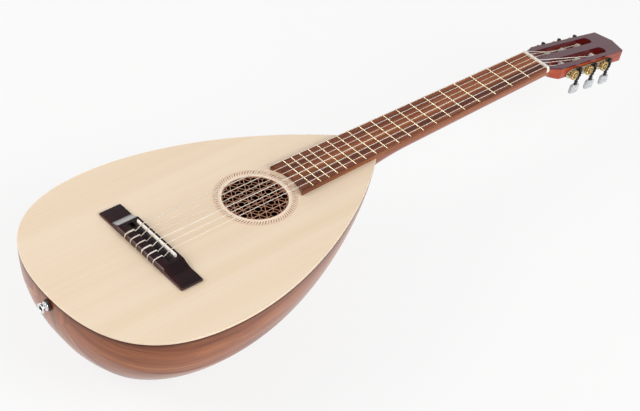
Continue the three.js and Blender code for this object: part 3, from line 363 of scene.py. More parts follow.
def makeWood(name, wood):
    # streaks and growth lines run along the first coordinate; sizes are in millimetres
    material, tree = newMaterial(name)
    bent = wood.get("followsPiece")
    place = addNode(tree, "UVMap", {"uv_map": "grain"}, {}).outputs["UV"] if bent else objectPlace(tree)
    wander = noiseAt(tree, place, 1 / (wood["wanderLength"] * mm), 2)
    sway = addNode(tree, "VectorMath", {"operation": "MULTIPLY_ADD"}, {
        0: wander.outputs["Color"], 1: (0, wood["wander"] * mm, wood["wander"] * mm), 2: place,
    }).outputs[0]
    long = wood["streakLength"] * mm
    streaks = stretched(tree, sway, long, wood["streakWidth"] * mm, 4, Roughness=0.6)
    bands = stretched(tree, sway, growthStretch * long, wood["growthWidth"] * mm, 2)
    blend = addNode(tree, "Mix", {"data_type": "FLOAT"}, {
        0: wood["growthShare"], 2: streaks, 3: bands,
    }).outputs[0]
    wooden = ramp(tree, wood["colours"], blend)
    for shade in wood.get("paintedShadeAndStains", ()):
        # a painted shade or a stain along one axis: stops are (place in millimetres, grey for its strength)
        stops = shade["stops"]
        first, last = stops[0][0], stops[-1][0]
        origin = layoutOrigin["XYZ".index(shade["axis"])]
        axes = addNode(tree, "SeparateXYZ", {}, {0: objectPlace(tree) if bent else sway})
        along = addNode(tree, "MapRange", {}, {
            "Value": axes.outputs[shade["axis"]],
            "From Min": origin + first * mm, "From Max": origin + last * mm,
        })
        strength = ramp(tree, [((at - first) / (last - first), grey) for at, grey in stops], along.outputs[0])
        wooden = blended(tree, strength, wooden, hexColour(shade["colour"]))
    specks = stretched(tree, sway, wood["poreLength"] * mm, wood["poreWidth"] * mm, 1)
    pores = addNode(tree, "MapRange", {}, {
        "Value": specks, "From Min": 0.62, "From Max": 0.72, "To Min": 0, "To Max": wood["poreDepth"],
    }).outputs[0]
    bump = addNode(tree, "Bump", {}, {
        "Strength": wood["relief"], "Distance": woodRelief * mm,
        "Height": combine(tree, "SUBTRACT", streaks, pores),
    })
    rough = addNode(tree, "MapRange", {}, {
        "Value": blend, "To Min": wood["roughness"] - roughnessSwing,
        "To Max": wood["roughness"] + roughnessSwing,
    })
    setSurface(tree, addNode(tree, "BsdfPrincipled", {}, {
        "Base Color": blended(tree, pores, wooden, hexColour(wood["poreColour"])),
        "Roughness": rough.outputs[0], "IOR": 1.5, "Specular IOR Level": wood.get("underGloss", 0.5),
        "Coat Weight": wood["lacquer"], "Coat Roughness": wood["lacquerRoughness"], "Coat IOR": 1.5,
        "Normal": bump.outputs[0],
    }))
    return material


# Spruce under satin lacquer: pale cream, with faint straight growth lines that only just show.
satinSpruce = makeWood("satin_lacquered_spruce", {
    "colours": [(0.2, "#e9cfac"), (0.5, "#f0dabd"), (0.8, "#f4e2c9")],
    "streakLength": 260, "streakWidth": 1.3, "growthWidth": 34, "growthShare": 0.55,
    "wander": 1.5, "wanderLength": 220, "poreLength": 30, "poreWidth": 0.5, "poreDepth": 0.08,
    "poreColour": "#cfae86", "relief": 0.12, "roughness": 0.42, "lacquer": 0.12, "lacquerRoughness": 0.3,
})

# Walnut staves bent and polished under gloss lacquer: warm brown with long flowing dark lines.
glossWalnut = makeWood("gloss_lacquered_walnut", {
    "followsPiece": True,
    # painted shade: the staves are drawn darker towards the table's edge, where the bowl turns away from the light
    "paintedShadeAndStains": [{"axis": "Z", "colour": "#3c1408", "stops": [
        (-28, "#000000"), (-18, "#343434"), (-9, "#8c8c8c"), (-4.4, "#e6e6e6"),
    ]}],
    "colours": [(0.3, "#5f2f19"), (0.42, "#88492a"), (0.55, "#a36038"), (0.74, "#bc7c4f")],
    "streakLength": 170, "streakWidth": 1.8, "growthWidth": 11, "growthShare": 0.65,
    "wander": 22, "wanderLength": 150, "poreLength": 9, "poreWidth": 0.45, "poreDepth": 0.4,
    "poreColour": "#431f12", "relief": 0.15, "roughness": 0.34, "underGloss": 0.12,
    "lacquer": 0.5, "lacquerRoughness": 0.1,
})

# The staves' inner faces, matt and drawn nearly black: painted shade for the dark inside of the body behind the rose.
insideWalnutPaintedShade = makeWood("walnut_inside_painted_shade", {
    "colours": [(0.3, "#1c0d08"), (0.55, "#2b140c"), (0.74, "#3a1d12")],
    "streakLength": 90, "streakWidth": 2.5, "growthWidth": 12, "growthShare": 0.5,
    "wander": 3, "wanderLength": 90, "poreLength": 6, "poreWidth": 0.5, "poreDepth": 0.3,
    "poreColour": "#120806", "relief": 0.3, "roughness": 0.75, "underGloss": 0.1,
    "lacquer": 0, "lacquerRoughness": 0.3,
})

mahogany = {
    "streakLength": 90, "streakWidth": 1.4, "growthWidth": 12, "growthShare": 0.5,
    "wander": 4, "wanderLength": 120, "poreLength": 4, "poreWidth": 0.35, "poreDepth": 0.5,
    "poreColour": "#4a1a0f", "relief": 0.15, "roughness": 0.3, "underGloss": 0.15,
    "lacquer": 0.5, "lacquerRoughness": 0.06,
}

# Stained mahogany under gloss lacquer: red brown, even, with short dark pores.
glossMahogany = makeWood("gloss_lacquered_mahogany", {
    **mahogany, "colours": [(0.25, "#7c2a17"), (0.5, "#a34125"), (0.75, "#be5534")],
})

# The neck behind the board, the head's mahogany drawn browner and less red: a painted sheen for the paler look its
# reflections give it.
neckMahoganyPaintedSheen = makeWood("neck_mahogany_painted_sheen", {
    **mahogany, "colours": [(0.25, "#6e3020"), (0.5, "#8f4a33"), (0.75, "#a65f45")],
})

# The walls of the head's slots, drawn a deeper, darker wine red than the head: painted shade in the slots.
slotMahoganyPaintedShade = makeWood("slot_mahogany_painted_shade", {
    "colours": [(0.25, "#4a0d0a"), (0.5, "#651410"), (0.75, "#7c2014")],
    "streakLength": 60, "streakWidth": 1.4, "growthWidth": 10, "growthShare": 0.5,
    "wander": 3, "wanderLength": 80, "poreLength": 4, "poreWidth": 0.35, "poreDepth": 0.4,
    "poreColour": "#2c0a07", "relief": 0.2, "roughness": 0.4, "underGloss": 0.15,
    "lacquer": 0.3, "lacquerRoughness": 0.15,
})

# Oiled rosewood: open grained, streaked from ochre through red brown to a dark violet brown.
oiledRosewood = makeWood("oiled_rosewood", {
    "paintedShadeAndStains": [
        # a dark streak in the wood along the treble strings, then painted shade on the board's treble side face
        {"axis": "Y", "colour": "#33201f", "stops": [
            (-30, "#000000"), (6, "#000000"), (8.5, "#545454"), (12, "#5e5e5e"), (13.5, "#c8c8c8"),
            (18.5, "#b4b4b4"), (20.5, "#6a6a6a"), (23, "#3c3c3c"), (26, "#5a5a5a"), (30, "#848484"),
        ]},
        # darker towards the board's end over the hole
        {"axis": "X", "colour": "#2c1410", "stops": [
            (0, "#000000"), (250, "#000000"), (380, "#4c4c4c"), (434, "#9a9a9a"),
        ]},
    ],
    "colours": [(0.34, "#5e3424"), (0.44, "#7b442e"), (0.52, "#985638"), (0.6, "#a96d40"), (0.7, "#bf8850")],
    "streakLength": 150, "streakWidth": 2.2, "growthWidth": 11, "growthShare": 0.6,
    "wander": 4, "wanderLength": 150, "poreLength": 5, "poreWidth": 0.4, "poreDepth": 0.7,
    "poreColour": "#3a1e16", "relief": 0.5, "roughness": 0.45, "underGloss": 0.2,
    "lacquer": 0.1, "lacquerRoughness": 0.3,
})

# Rosewood stained near black and polished: a violet black that keeps some red at its edges.
stainedRosewood = makeWood("black_stained_rosewood", {
    "paintedShadeAndStains": [{"axis": "X", "colour": "#6c2a1c", "stops": [
        (640, "#000000"), (667, "#000000"), (674, "#5c5c5c"), (677, "#a4a4a4"),
    ]}],
    "colours": [(0.35, "#12080a"), (0.55, "#220e10"), (0.75, "#3c1612")],
    "streakLength": 60, "streakWidth": 1.8, "growthWidth": 12, "growthShare": 0.5,
    "wander": 3, "wanderLength": 60, "poreLength": 5, "poreWidth": 0.4, "poreDepth": 0.4,
    "poreColour": "#0b0606", "relief": 0.2, "roughness": 0.3, "underGloss": 0.05,
    "lacquer": 0.75, "lacquerRoughness": 0.2,
})

# Dark head veneer under gloss lacquer: it takes a grey violet sheen from the light round it.
glossVeneer = makeWood("gloss_lacquered_dark_veneer", {
    "colours": [(0.3, "#42101f"), (0.55, "#541629"), (0.78, "#68202e")],
    "streakLength": 110, "streakWidth": 1.6, "growthWidth": 11, "growthShare": 0.5,
    "wander": 3, "wanderLength": 90, "poreLength": 5, "poreWidth": 0.35, "poreDepth": 0.4,
    "poreColour": "#1b0c0d", "relief": 0.15, "roughness": 0.3, "underGloss": 0.1,
    "lacquer": 0.65, "lacquerRoughness": 0.1,
})

# The lining strip between table and staves, lacquered: a thin dark red line, drawn dark partly as painted shade for
# the shadowed line under the table's edge.
liningStripPaintedShade = makeWood("lining_strip_painted_shade", {
    "colours": [(0.3, "#451a0f"), (0.55, "#5e2616"), (0.78, "#753322")],
    "streakLength": 60, "streakWidth": 1.0, "growthWidth": 9, "growthShare": 0.4,
    "wander": 2, "wanderLength": 60, "poreLength": 4, "poreWidth": 0.35, "poreDepth": 0.3,
    "poreColour": "#2d120a", "relief": 0.1, "roughness": 0.4, "underGloss": 0.1,
    "lacquer": 0.3, "lacquerRoughness": 0.15,
})

# Pearwood for the carved rose: fine and even, a light pinkish tan.
carvedPearwood = makeWood("carved_pearwood", {
    "colours": [(0.3, "#9f6b50"), (0.55, "#bc886a"), (0.78, "#d3a488")],
    "streakLength": 40, "streakWidth": 0.9, "growthWidth": 8, "growthShare": 0.4,
    "wander": 1, "wanderLength": 40, "poreLength": 3, "poreWidth": 0.3, "poreDepth": 0.2,
    "poreColour": "#a67a5c", "relief": 0.15, "roughness": 0.45, "lacquer": 0.2, "lacquerRoughness": 0.25,
})

# The braces inside, planed spruce drawn as dark as the staves' inner faces: painted shade for the dark inside of the
# body, behind the rose.
braceSprucePaintedShade = makeWood("brace_spruce_painted_shade", {
    "colours": [(0.3, "#24160f"), (0.55, "#332016"), (0.78, "#452d1f")],
    "streakLength": 120, "streakWidth": 1.2, "growthWidth": 14, "growthShare": 0.4,
    "wander": 2, "wanderLength": 90, "poreLength": 6, "poreWidth": 0.4, "poreDepth": 0.1,
    "poreColour": "#170d08", "relief": 0.3, "roughness": 0.7, "underGloss": 0.1,
    "lacquer": 0, "lacquerRoughness": 0.3,
})


def makeInlay():
    # The ring round the hole: cream veneer with a row of slanted brown slips between thin lines.
    # The real slips, 2.4 mm apart, are too fine to show, so they are drawn 3.6 mm apart.
    ring = {
        "inner": 42, "outer": 53.2, "slips": 86, "slipShare": 0.42, "row": (46.2, 51.2), "slant": 0.05,
        "mottle": 3,
    }
    material, tree = newMaterial("inlaid_veneer_ring")
    place = objectPlace(tree)
    centre = layoutOrigin + Vector((holeCentre, 0, 0)) * mm
    local = addNode(tree, "VectorMath", {"operation": "SUBTRACT"}, {0: place, 1: tuple(centre)})
    axes = addNode(tree, "SeparateXYZ", {}, {0: local.outputs[0]}).outputs
    flat = addNode(tree, "CombineXYZ", {}, {"X": axes["X"], "Y": axes["Y"]})
    radius = addNode(tree, "VectorMath", {"operation": "LENGTH"}, {0: flat.outputs[0]}).outputs["Value"]
    low, high = ring["row"]
    share = addNode(tree, "MapRange", {"clamp": False}, {
        "Value": radius, "From Min": low * mm, "From Max": high * mm,
    }).outputs[0]
    lean = combine(tree, "MULTIPLY_ADD", share, ring["slant"], combine(tree, "ARCTAN2", axes["Y"], axes["X"]))
    count = combine(tree, "MULTIPLY", lean, ring["slips"] / (2 * math.pi))
    slip = combine(tree, "LESS_THAN", combine(tree, "FRACT", count), ring["slipShare"])
    above, below = combine(tree, "GREATER_THAN", share, 0), combine(tree, "LESS_THAN", share, 1)
    marks = combine(tree, "MULTIPLY", combine(tree, "MULTIPLY", above, below), slip)
    across = addNode(tree, "MapRange", {}, {
        "Value": radius, "From Min": ring["inner"] * mm, "From Max": ring["outer"] * mm,
    })
    bands = ramp(tree, [
        (0, "#fff3e2"), (0.11, "#fff0dc"), (0.13, "#f4d9be"), (0.48, "#f4dac0"),
        (0.86, "#edd0b4"), (0.93, "#dcbc9b"), (1, "#ebcfb2"),
    ], across.outputs[0])
    mottle = noiseAt(tree, place, 1 / (ring["mottle"] * mm), 3)
    strength = addNode(tree, "MapRange", {}, {
        "Value": mottle.outputs["Fac"], "From Min": 0.32, "From Max": 0.62, "To Min": 0.15, "To Max": 1,
    })
    ink = combine(tree, "MULTIPLY", marks, strength.outputs[0])
    setSurface(tree, addNode(tree, "BsdfPrincipled", {}, {
        "Base Color": blended(tree, ink, bands, hexColour("#6f4a2e")),
        "Roughness": 0.4, "IOR": 1.5, "Coat Weight": 0.12, "Coat Roughness": 0.3,
    }))
    return material


polishRelief = 0.02  # millimetres
wearSpread = 0.3


def makePolished(name, finish):
    # a smooth moulded, cut or plated surface, with fine wear in its colour, gloss and height
    material, tree = newMaterial(name)
    place = objectPlace(tree)
    swirl = finish.get("swirl", 0)
    mottle = noiseAt(tree, place, 1 / (finish["mottle"] * mm), 4, Distortion=swirl).outputs["Fac"]
    wear = noiseAt(tree, place, 1 / (finish["wear"] * mm), 3).outputs["Fac"]
    rough = addNode(tree, "MapRange", {}, {
        "Value": wear, "To Min": finish["roughness"] * (1 - wearSpread),
        "To Max": finish["roughness"] * (1 + wearSpread),
    })
    bump = addNode(tree, "Bump", {}, {
        "Strength": finish["relief"], "Distance": polishRelief * mm, "Height": wear,
    })
    setSurface(tree, addNode(tree, "BsdfPrincipled", {}, {
        "Base Color": ramp(tree, finish["colours"], mottle), "Roughness": rough.outputs[0],
        "Normal": bump.outputs[0], **finish.get("inputs", {}),
    }))
    return material


# Bleached bone, cut and buffed: warm white, slightly waxy.
buffedBone = makePolished("buffed_bone", {
    "colours": [(0.3, "#f6eadb"), (0.7, "#fdf6ec")], "mottle": 4, "wear": 0.8, "roughness": 0.3, "relief": 0.15,
    "inputs": {
        "IOR": 1.54, "Subsurface Weight": 0.15, "Subsurface Radius": (0.002, 0.0015, 0.001),
        "Coat Weight": 0.3,
    },
})

# Clear nylon, drawn: pale and half clear, it picks up the colour of the wood under it.
clearNylon = makePolished("drawn_clear_nylon", {
    "colours": [(0.3, "#fdf1e2"), (0.7, "#fff8ee")], "mottle": 6, "wear": 2, "roughness": 0.18, "relief": 0.05,
    "inputs": {"IOR": 1.53, "Transmission Weight": 0.18},
})

# Nickel silver, ground and polished: a warm white metal.
groundNickel = makePolished("polished_nickel_silver", {
    "colours": [(0.3, "#d9c7a2"), (0.7, "#ecdebf")], "mottle": 5, "wear": 0.6, "roughness": 0.24, "relief": 0.2,
    "inputs": {"Metallic": 1},
})

# Gold-coloured plating over stamped brass.
goldPlating = makePolished("gold_plated_brass", {
    "colours": [(0.3, "#f4e8c8"), (0.7, "#fffaec")], "mottle": 3, "wear": 0.7, "roughness": 0.36, "relief": 0.25,
    "inputs": {"Metallic": 0.7},
})

# The wheels, cut from bar brass and left bare: a deeper, browner yellow than the plating.
cutBrass = makePolished("cut_bar_brass", {
    "colours": [(0.3, "#b99a5c"), (0.7, "#ecd399")], "mottle": 2.5, "wear": 0.6, "roughness": 0.3, "relief": 0.3,
    "inputs": {"Metallic": 0.85},
})

# The scrolls on the plates, rubbed dark so that they stand out on the pale plating.
agedBrass = makePolished("aged_brass_scrolls", {
    "colours": [(0.3, "#4a3615"), (0.7, "#9a7a3a")], "mottle": 1.5, "wear": 0.5, "roughness": 0.4, "relief": 0.4,
    "inputs": {"Metallic": 1},
})

# Black-oxide steel: near black, with small bright glints on its turned edges.
blackOxide = makePolished("black_oxide_steel", {
    "colours": [(0.3, "#0c0c0e"), (0.7, "#19191c")], "mottle": 3, "wear": 0.8, "roughness": 0.3, "relief": 0.3,
    "inputs": {"Metallic": 0.6, "Coat Weight": 0.5, "Coat Roughness": 0.1},
})

# Bright chromium plate: takes the white of the room and the dark of its own steps.
chromePlate = makePolished("bright_chromium_plate", {
    "colours": [(0.3, "#dcdde0"), (0.7, "#eeeff1")], "mottle": 8, "wear": 1, "roughness": 0.07, "relief": 0.05,
    "inputs": {"Metallic": 1},
})

# Black rubber-like fibre of the jack's washer.
pressedFibre = makePolished("pressed_black_fibre", {
    "colours": [(0.3, "#1b1614"), (0.7, "#2c2421")], "mottle": 1, "wear": 0.4, "roughness": 0.5, "relief": 0.5,
    "inputs": {"IOR": 1.5},
})

# Moulded pearl plastic: milky grey white with soft swirls that light shines into.
mouldedPearl = makePolished("moulded_pearl_plastic", {
    "colours": [(0.25, "#b4b9be"), (0.5, "#cbcfd2"), (0.75, "#dfe2e3")], "mottle": 7, "swirl": 3, "wear": 2,
    "roughness": 0.16, "relief": 0.05,
    "inputs": {
        "IOR": 1.5, "Coat Weight": 0.8, "Coat Roughness": 0.05, "Subsurface Weight": 0.35,
        "Subsurface Radius": (0.003, 0.003, 0.003), "Transmission Weight": 0.12,
    },
})


def makeWoundString():
    # Silver-plated wire wound on silk. Its real 0.25 mm pitch is too fine to show, so it is drawn
    # at 0.9 mm.
    pitch = 0.9
    wavesPerScale = 0.314  # the wave texture's own measure, so that one band is one turn of wire
    material, tree = newMaterial("wound_silver_plated_wire")
    along = addNode(tree, "UVMap", {"uv_map": "grain"}, {}).outputs["UV"]
    wire = addNode(tree, "TexWave", {"bands_direction": "X"}, {
        "Vector": along, "Scale": wavesPerScale / (pitch * mm),
    }).outputs["Fac"]
    bump = addNode(tree, "Bump", {}, {"Strength": 0.5, "Distance": 0.1 * mm, "Height": wire})
    setSurface(tree, addNode(tree, "BsdfPrincipled", {}, {
        "Base Color": ramp(tree, [(0, "#c6b7a4"), (0.5, "#e2d5c3"), (1, "#f4eadc")], wire),
        "Roughness": 0.45, "Metallic": 0.25, "Normal": bump.outputs[0],
    }))
    return material


inlaidRing = makeInlay()
woundWire = makeWoundString()
print("materials made")


# The body's outline and round back

outline = {
    "tailSweepShare": 0.68, "tailShoulderShare": 0.677, "frontShoulderShare": 0.349,
    "frontSweepShare": 0.332, "leaveAngle": 0.706, "tailSteps": 56, "frontSteps": 84,
}


def cubic(points, t):
    a, b, c, d = (Vector(p) for p in points)
    s = 1 - t
    return a * s**3 + b * 3 * s * s * t + c * 3 * s * t * t + d * t**3


def outlineAt(u):
    # u runs from 0 at the tail to 1 at the widest place and 2 at the neck
    half, neckHalf = layout["halfBody"], layout["neckEndWidth"] / 2
    if u <= 1:
        run = tailEnd - widestPlace
        return cubic([
            (tailEnd, 0), (tailEnd, half * outline["tailSweepShare"]),
            (widestPlace + run * outline["tailShoulderShare"], half), (widestPlace, half),
        ], u)
    sweep = layout["widestFromNeck"] * outline["frontSweepShare"]
    angle = outline["leaveAngle"]
    return cubic([
        (widestPlace, half), (widestPlace - layout["widestFromNeck"] * outline["frontShoulderShare"], half),
        (layout["bodyStart"] + sweep * math.cos(angle), neckHalf + sweep * math.sin(angle)),
        (layout["bodyStart"], neckHalf),
    ], u - 1)


def tableOutline(distance=0.0):
    # the whole outline drawn in by a distance, from the tail over the treble side, counter-clockwise
    stations = spaced(0, 1, outline["tailSteps"])[:-1] + spaced(1, 2, outline["frontSteps"])
    treble = [tuple(outlineAt(u)) for u in stations]
    neckEdge = [(layout["bodyStart"], y) for y in spaced(treble[-1][1], -treble[-1][1], 12)[1:-1]]
    bass = [(x, -y) for x, y in reversed(treble[1:])]
    whole = treble + neckEdge + bass
    return inset(whole, distance) if distance else whole


def backSurface(u, angle):
    x, half = outlineAt(u)
    depth = back["depth"] * (half / layout["halfBody"]) ** back["depthPower"]
    power = 2 / back["sectionPower"]
    return Vector((
        x, half * signedPower(math.cos(angle), power),
        back["rimHeight"] - depth * signedPower(math.sin(angle), power),
    ))


def backPoint(u, angle, distance):
    step = 1e-4
    near = min(max(u, step), 2 - step)
    along = backSurface(near + step, angle) - backSurface(near - step, angle)
    across = backSurface(near, angle + step) - backSurface(near, angle - step)
    outward = Vector((1, 0, 0)) if u < step else across.cross(along).normalized()
    return backSurface(u, angle) - outward * distance


def staveRow(u, start, end, distance, steps):
    # across one stave, flatter than the bowl's own section
    first, last = backPoint(u, start, distance), backPoint(u, end, distance)
    row = []
    for i in range(steps + 1):
        share = i / steps
        flat = first.lerp(last, share)
        row.append(flat.lerp(backPoint(u, lerp(start, end, share), distance), back["crownShare"]))
    return row


def tailPlaceOfWidth(half):
    low, high = 0.0, 1.0
    for _ in range(40):
        middle = (low + high) / 2
        if outlineAt(middle).y < half:
            low = middle
        else:
            high = middle
    return high


def plateBetween(outer, inner):
    # a closed shell between two grids of points with the same rows and columns
    return loft([first + list(reversed(second)) for first, second in zip(outer, inner)])


def makeStave(number):
    start = tailPlaceOfWidth(back["capWidth"] / 2 + 0.05)
    stations = spaced(start, 1, 44)[:-1] + spaced(1, 2, 64)
    steps = back["acrossSteps"]

    def seam(k, u, way):
        angle = math.pi * k / back["staves"]
        step = 1e-2
        span = (backSurface(u, angle + step) - backSurface(u, angle - step)).length
        return angle + way * back["seam"] * 2 * step / span

    rows, grain = [[], []], []
    along = 0
    before = None
    for u in stations:
        ends = seam(number - 1, u, 1), seam(number, u, -1)
        outer = staveRow(u, *ends, 0, steps)
        rows[0].append(outer)
        rows[1].append(staveRow(u, *ends, back["thickness"], steps))
        middle = outer[steps // 2]
        along += (middle - before).length if before else 0
        before = middle
        width = (outer[-1] - outer[0]).length
        across = [width * (i / steps - 0.5) + 200 * number for i in range(steps + 1)]
        grain += [(along + 900 * number, a) for a in across + list(reversed(across))]
    # the staves' inner faces get the near-black walnut, a painted shade
    makePiece(
        f"rib_{number}_fine", plateBetween(*rows), glossWalnut, [f"rib_{number}"],
        grain=grain, sharpest=50, second=insideWalnutPaintedShade, where=facesInside,
    )


def facesInside(centre, normal):
    return normal.y * centre.y + normal.z * (centre.z - back["rimHeight"]) < 0


def makeTailCap():
    end = tailPlaceOfWidth(back["capWidth"] / 2 - 0.05)
    stations = spaced(0.004, end, 20)
    seams = [math.pi * k / back["staves"] for k in range(back["staves"] + 1)]

    def wholeRow(u, distance):
        row = []
        for a, b in zip(seams, seams[1:]):
            row += staveRow(u, a, b, distance, 4)[: None if b == seams[-1] else -1]
        return row

    outer = [wholeRow(u, 0) for u in stations]
    inner = [[Vector((p.x, p.y, p.z)) - Vector((back["thickness"], 0, 0)) for p in row] for row in outer]
    shape = plateBetween(outer, inner)
    boreRadius = jack["bodyRadius"] + seatGap
    jackBore = moved(turned([(boreRadius, -60), (boreRadius, 30)]), jackMatrix())
    rimGap = 0.02
    roof = boxShape((tailEnd - 60, -80, back["rimHeight"] - rimGap), (tailEnd + 20, 80, 20))
    shape = carved(shape, jackBore, roof)
    grain = [(p.z * 1.4 + 5000, p.y) for p in shape[0]]
    makePiece("tail_cap_fine", shape, glossWalnut, ["tail_cap"], grain=grain, sharpest=50)


jack = {
    "drop": 14, "bodyRadius": 4.6, "boreRadius": 3.3, "flangeRadius": 6.4, "reach": 11, "inside": 42,
    "washerRadius": 7.4, "washerThickness": 2.2,
}


def jackMatrix():
    # the jack's own Z points out of the tail
    return Matrix.Translation((tailEnd, 0, -jack["drop"])) @ Matrix.Rotation(math.pi / 2, 4, "Y")


def makeJack():
    r, flange, bore, reach = jack["bodyRadius"], jack["flangeRadius"], jack["boreRadius"], jack["reach"]
    profile = [
        (bore, -jack["inside"]), (r, -jack["inside"]), (r, 2.6), (r + 0.2, 2.7), (r + 1.2, 3.1), (r + 1.3, 3.4),
        (r + 1.3, 4.3), (r + 1.2, 4.6), (r - 0.5, 4.9), (r - 0.8, 5.4), (r - 0.8, 6.2), (r - 0.3, 6.8),
        (flange - 0.3, 8.2), (flange, 8.7), (flange, reach - 0.7), (flange - 0.2, reach - 0.2),
        (flange - 0.7, reach), (bore + 0.5, reach), (bore, reach - 0.5),
    ]
    makePiece(
        "endpin_jack_fine", moved(turnedRing(profile, 72), jackMatrix()), chromePlate, ["endpin_jack"],
    )
    w, t, start = jack["washerRadius"], jack["washerThickness"], seatGap
    inner = r + seatGap
    washer = [
        (inner, start), (w - 0.4, start), (w, start + 0.4), (w, start + t - 0.7), (w - 0.5, start + t - 0.1),
        (w - 1.0, start + t), (inner, start + t),
    ]
    makePiece(
        "jack_washer_fine", moved(turnedRing(washer, 72), jackMatrix()), pressedFibre, ["jack_washer"],
    )


for number in range(1, back["staves"] + 1):
    makeStave(number)
makeTailCap()
makeJack()
print("staves, cap and jack made")


# Table, lining strip, ring and rose

table = {"thickness": 2.6, "edge": 0.9, "holeRadius": 42, "ringOuter": 53.2, "ringDepth": 1, "stripWidth": 6}


def circleTowards(points, radius):
    # on a circle round the hole, in the directions of an outline's points
    circle = []
    for x, y in points:
        direction = Vector((x - holeCentre, y)).normalized() * radius
        circle.append((holeCentre + direction.x, direction.y))
    return circle


def makeTable():
    base = tableOutline()
    edge, low = table["edge"], -table["thickness"]
    rings = [[(x, y, low) for x, y in base]]
    for angle in spaced(0, math.pi / 2, 4):
        drawnIn = tableOutline(edge * (1 - math.cos(angle)) + 1e-4)
        rings.append([(x, y, -edge * (1 - math.sin(angle))) for x, y in drawnIn])
    rings.append([(x, y, 0) for x, y in tableOutline(6)])
    opening = table["ringOuter"] + 0.08
    for radius, z in (
        (opening + 6, 0), (opening, 0), (opening, -table["ringDepth"] - 0.1),
        (table["holeRadius"], -table["ringDepth"] - 0.1), (table["holeRadius"], low),
    ):
        rings.append([(x, y, z) for x, y in circleTowards(base, radius)])
    makePiece("table_fine", loft(rings, closedWay=True), satinSpruce, ["soundboard"], sharpest=50)
    strip = [
        (0, -2.7), (0, back["rimHeight"] + 0.02), (table["stripWidth"], back["rimHeight"] + 0.02),
        (table["stripWidth"], -2.7),
    ]
    stripRings = [[(x, y, z) for x, y in tableOutline(distance + 1e-4)] for distance, z in strip]
    # the strip's dark red is partly a painted shade
    makePiece("lining_strip", loft(stripRings, closedWay=True), liningStripPaintedShade, ["rim_strip"], sharpest=50)
    inner, outer, depth = table["holeRadius"], table["ringOuter"], table["ringDepth"]
    profile = [(inner + 0.5, 0), (outer, 0), (outer, -depth), (inner, -depth), (inner, -0.6), (inner + 0.12, -0.15)]
    ringShape = moved(turnedRing(profile, 144), Matrix.Translation((holeCentre, 0, 0)))
    makePiece("rosette_ring", ringShape, inlaidRing, ["rosette_inlay"])


rose = {
    "radius": 41.7, "rimWidth": 1.0, "pitch": 18.6, "top": -0.7, "depth": 0.7,
    "barWidth": 0.9, "thinWidth": 0.75, "ringRadius": 4.5,
}


strapSection = [(-1, 0), (-1, 0.62), (-0.7, 0.88), (0, 1), (0.7, 0.88), (1, 0.62), (1, 0)]


def strap(line, width, top, bottom):
    # a strap with a rounded back along a flat line of points
    rings = []
    for i, p in enumerate(line):
        along = (line[min(i + 1, len(line) - 1)] - line[max(i - 1, 0)]).normalized()
        side = Vector((-along.y, along.x)) * width / 2
        rings.append([(p.x + side.x * s, p.y + side.y * s, lerp(bottom, top, h)) for s, h in strapSection])
    return loft(rings)


def hoop(centre, radius, width, top, bottom, segments=48):
    profile = [(radius + width / 2 * s, lerp(bottom, top, h)) for s, h in strapSection]
    return moved(turnedRing(profile, segments), Matrix.Translation((centre[0], centre[1], 0)))


def clipped(start, end, radius):
    # the part of a straight line inside a circle round the origin, or None
    a, b = Vector(start), Vector(end)
    d = b - a
    p, q = a.dot(d) / d.dot(d), (a.dot(a) - radius * radius) / d.dot(d)
    if p * p <= q:
        return None
    root = math.sqrt(p * p - q)
    low, high = max(-p - root, 0), min(-p + root, 1)
    return (a + d * low, a + d * high) if high - low > 1e-3 else None


def makeRose():
    reach, pitch = rose["radius"] - rose["rimWidth"] / 2, rose["pitch"]
    top, bottom = rose["top"], rose["top"] - rose["depth"]
    shapes = [hoop((0, 0), rose["radius"] - rose["rimWidth"] / 2, rose["rimWidth"], top + 0.1, bottom, 144)]
    for turn in range(3):
        angle = math.pi / 3 * turn
        along = Vector((math.cos(angle), math.sin(angle)))
        across = Vector((-along.y, along.x))
        for k in range(-3, 3):
            offset = across * (k + 0.5) * pitch
            line = clipped(offset - along * 60, offset + along * 60, reach)
            if line:
                level = top - 0.12 * turn
                shapes.append(strap(line, rose["barWidth"], level, bottom))
    step = pitch * 2 / math.sqrt(3)
    for i in range(-3, 4):
        for j in range(-3, 4):
            centre = Vector((step * (i + j / 2), step * j * math.sqrt(3) / 2))
            r, size = rose["ringRadius"], centre.length
            if size + r < reach:
                shapes.append(hoop(centre, r, rose["thinWidth"], top - 0.2, bottom + 0.1, 24))
            elif size - r < reach - 0.3:
                start = math.atan2(centre.y, centre.x)
                cut = math.acos((reach**2 - size**2 - r * r) / (2 * size * r))
                arc = [
                    centre + Vector((math.cos(start + a), math.sin(start + a))) * r
                    for a in spaced(cut, 2 * math.pi - cut, 20)
                ]
                shapes.append(strap(arc, rose["thinWidth"], top - 0.2, bottom + 0.1))
            for spoke in range(3):  # each runs on to the next ring
                angle = math.pi / 3 * spoke
                outward = Vector((math.cos(angle), math.sin(angle)))
                line = clipped(centre + outward * r, centre + outward * (step - r), reach)
                if line:
                    shapes.append(strap(line, rose["thinWidth"], top - 0.3, bottom + 0.1))
    shape = moved(joined(*shapes), Matrix.Translation((holeCentre, 0, 0)))
    makePiece("rose_fine", shape, carvedPearwood, ["rose"])


makeTable()
makeRose()
print("table and rose made")


# Neck, fingerboard and frets

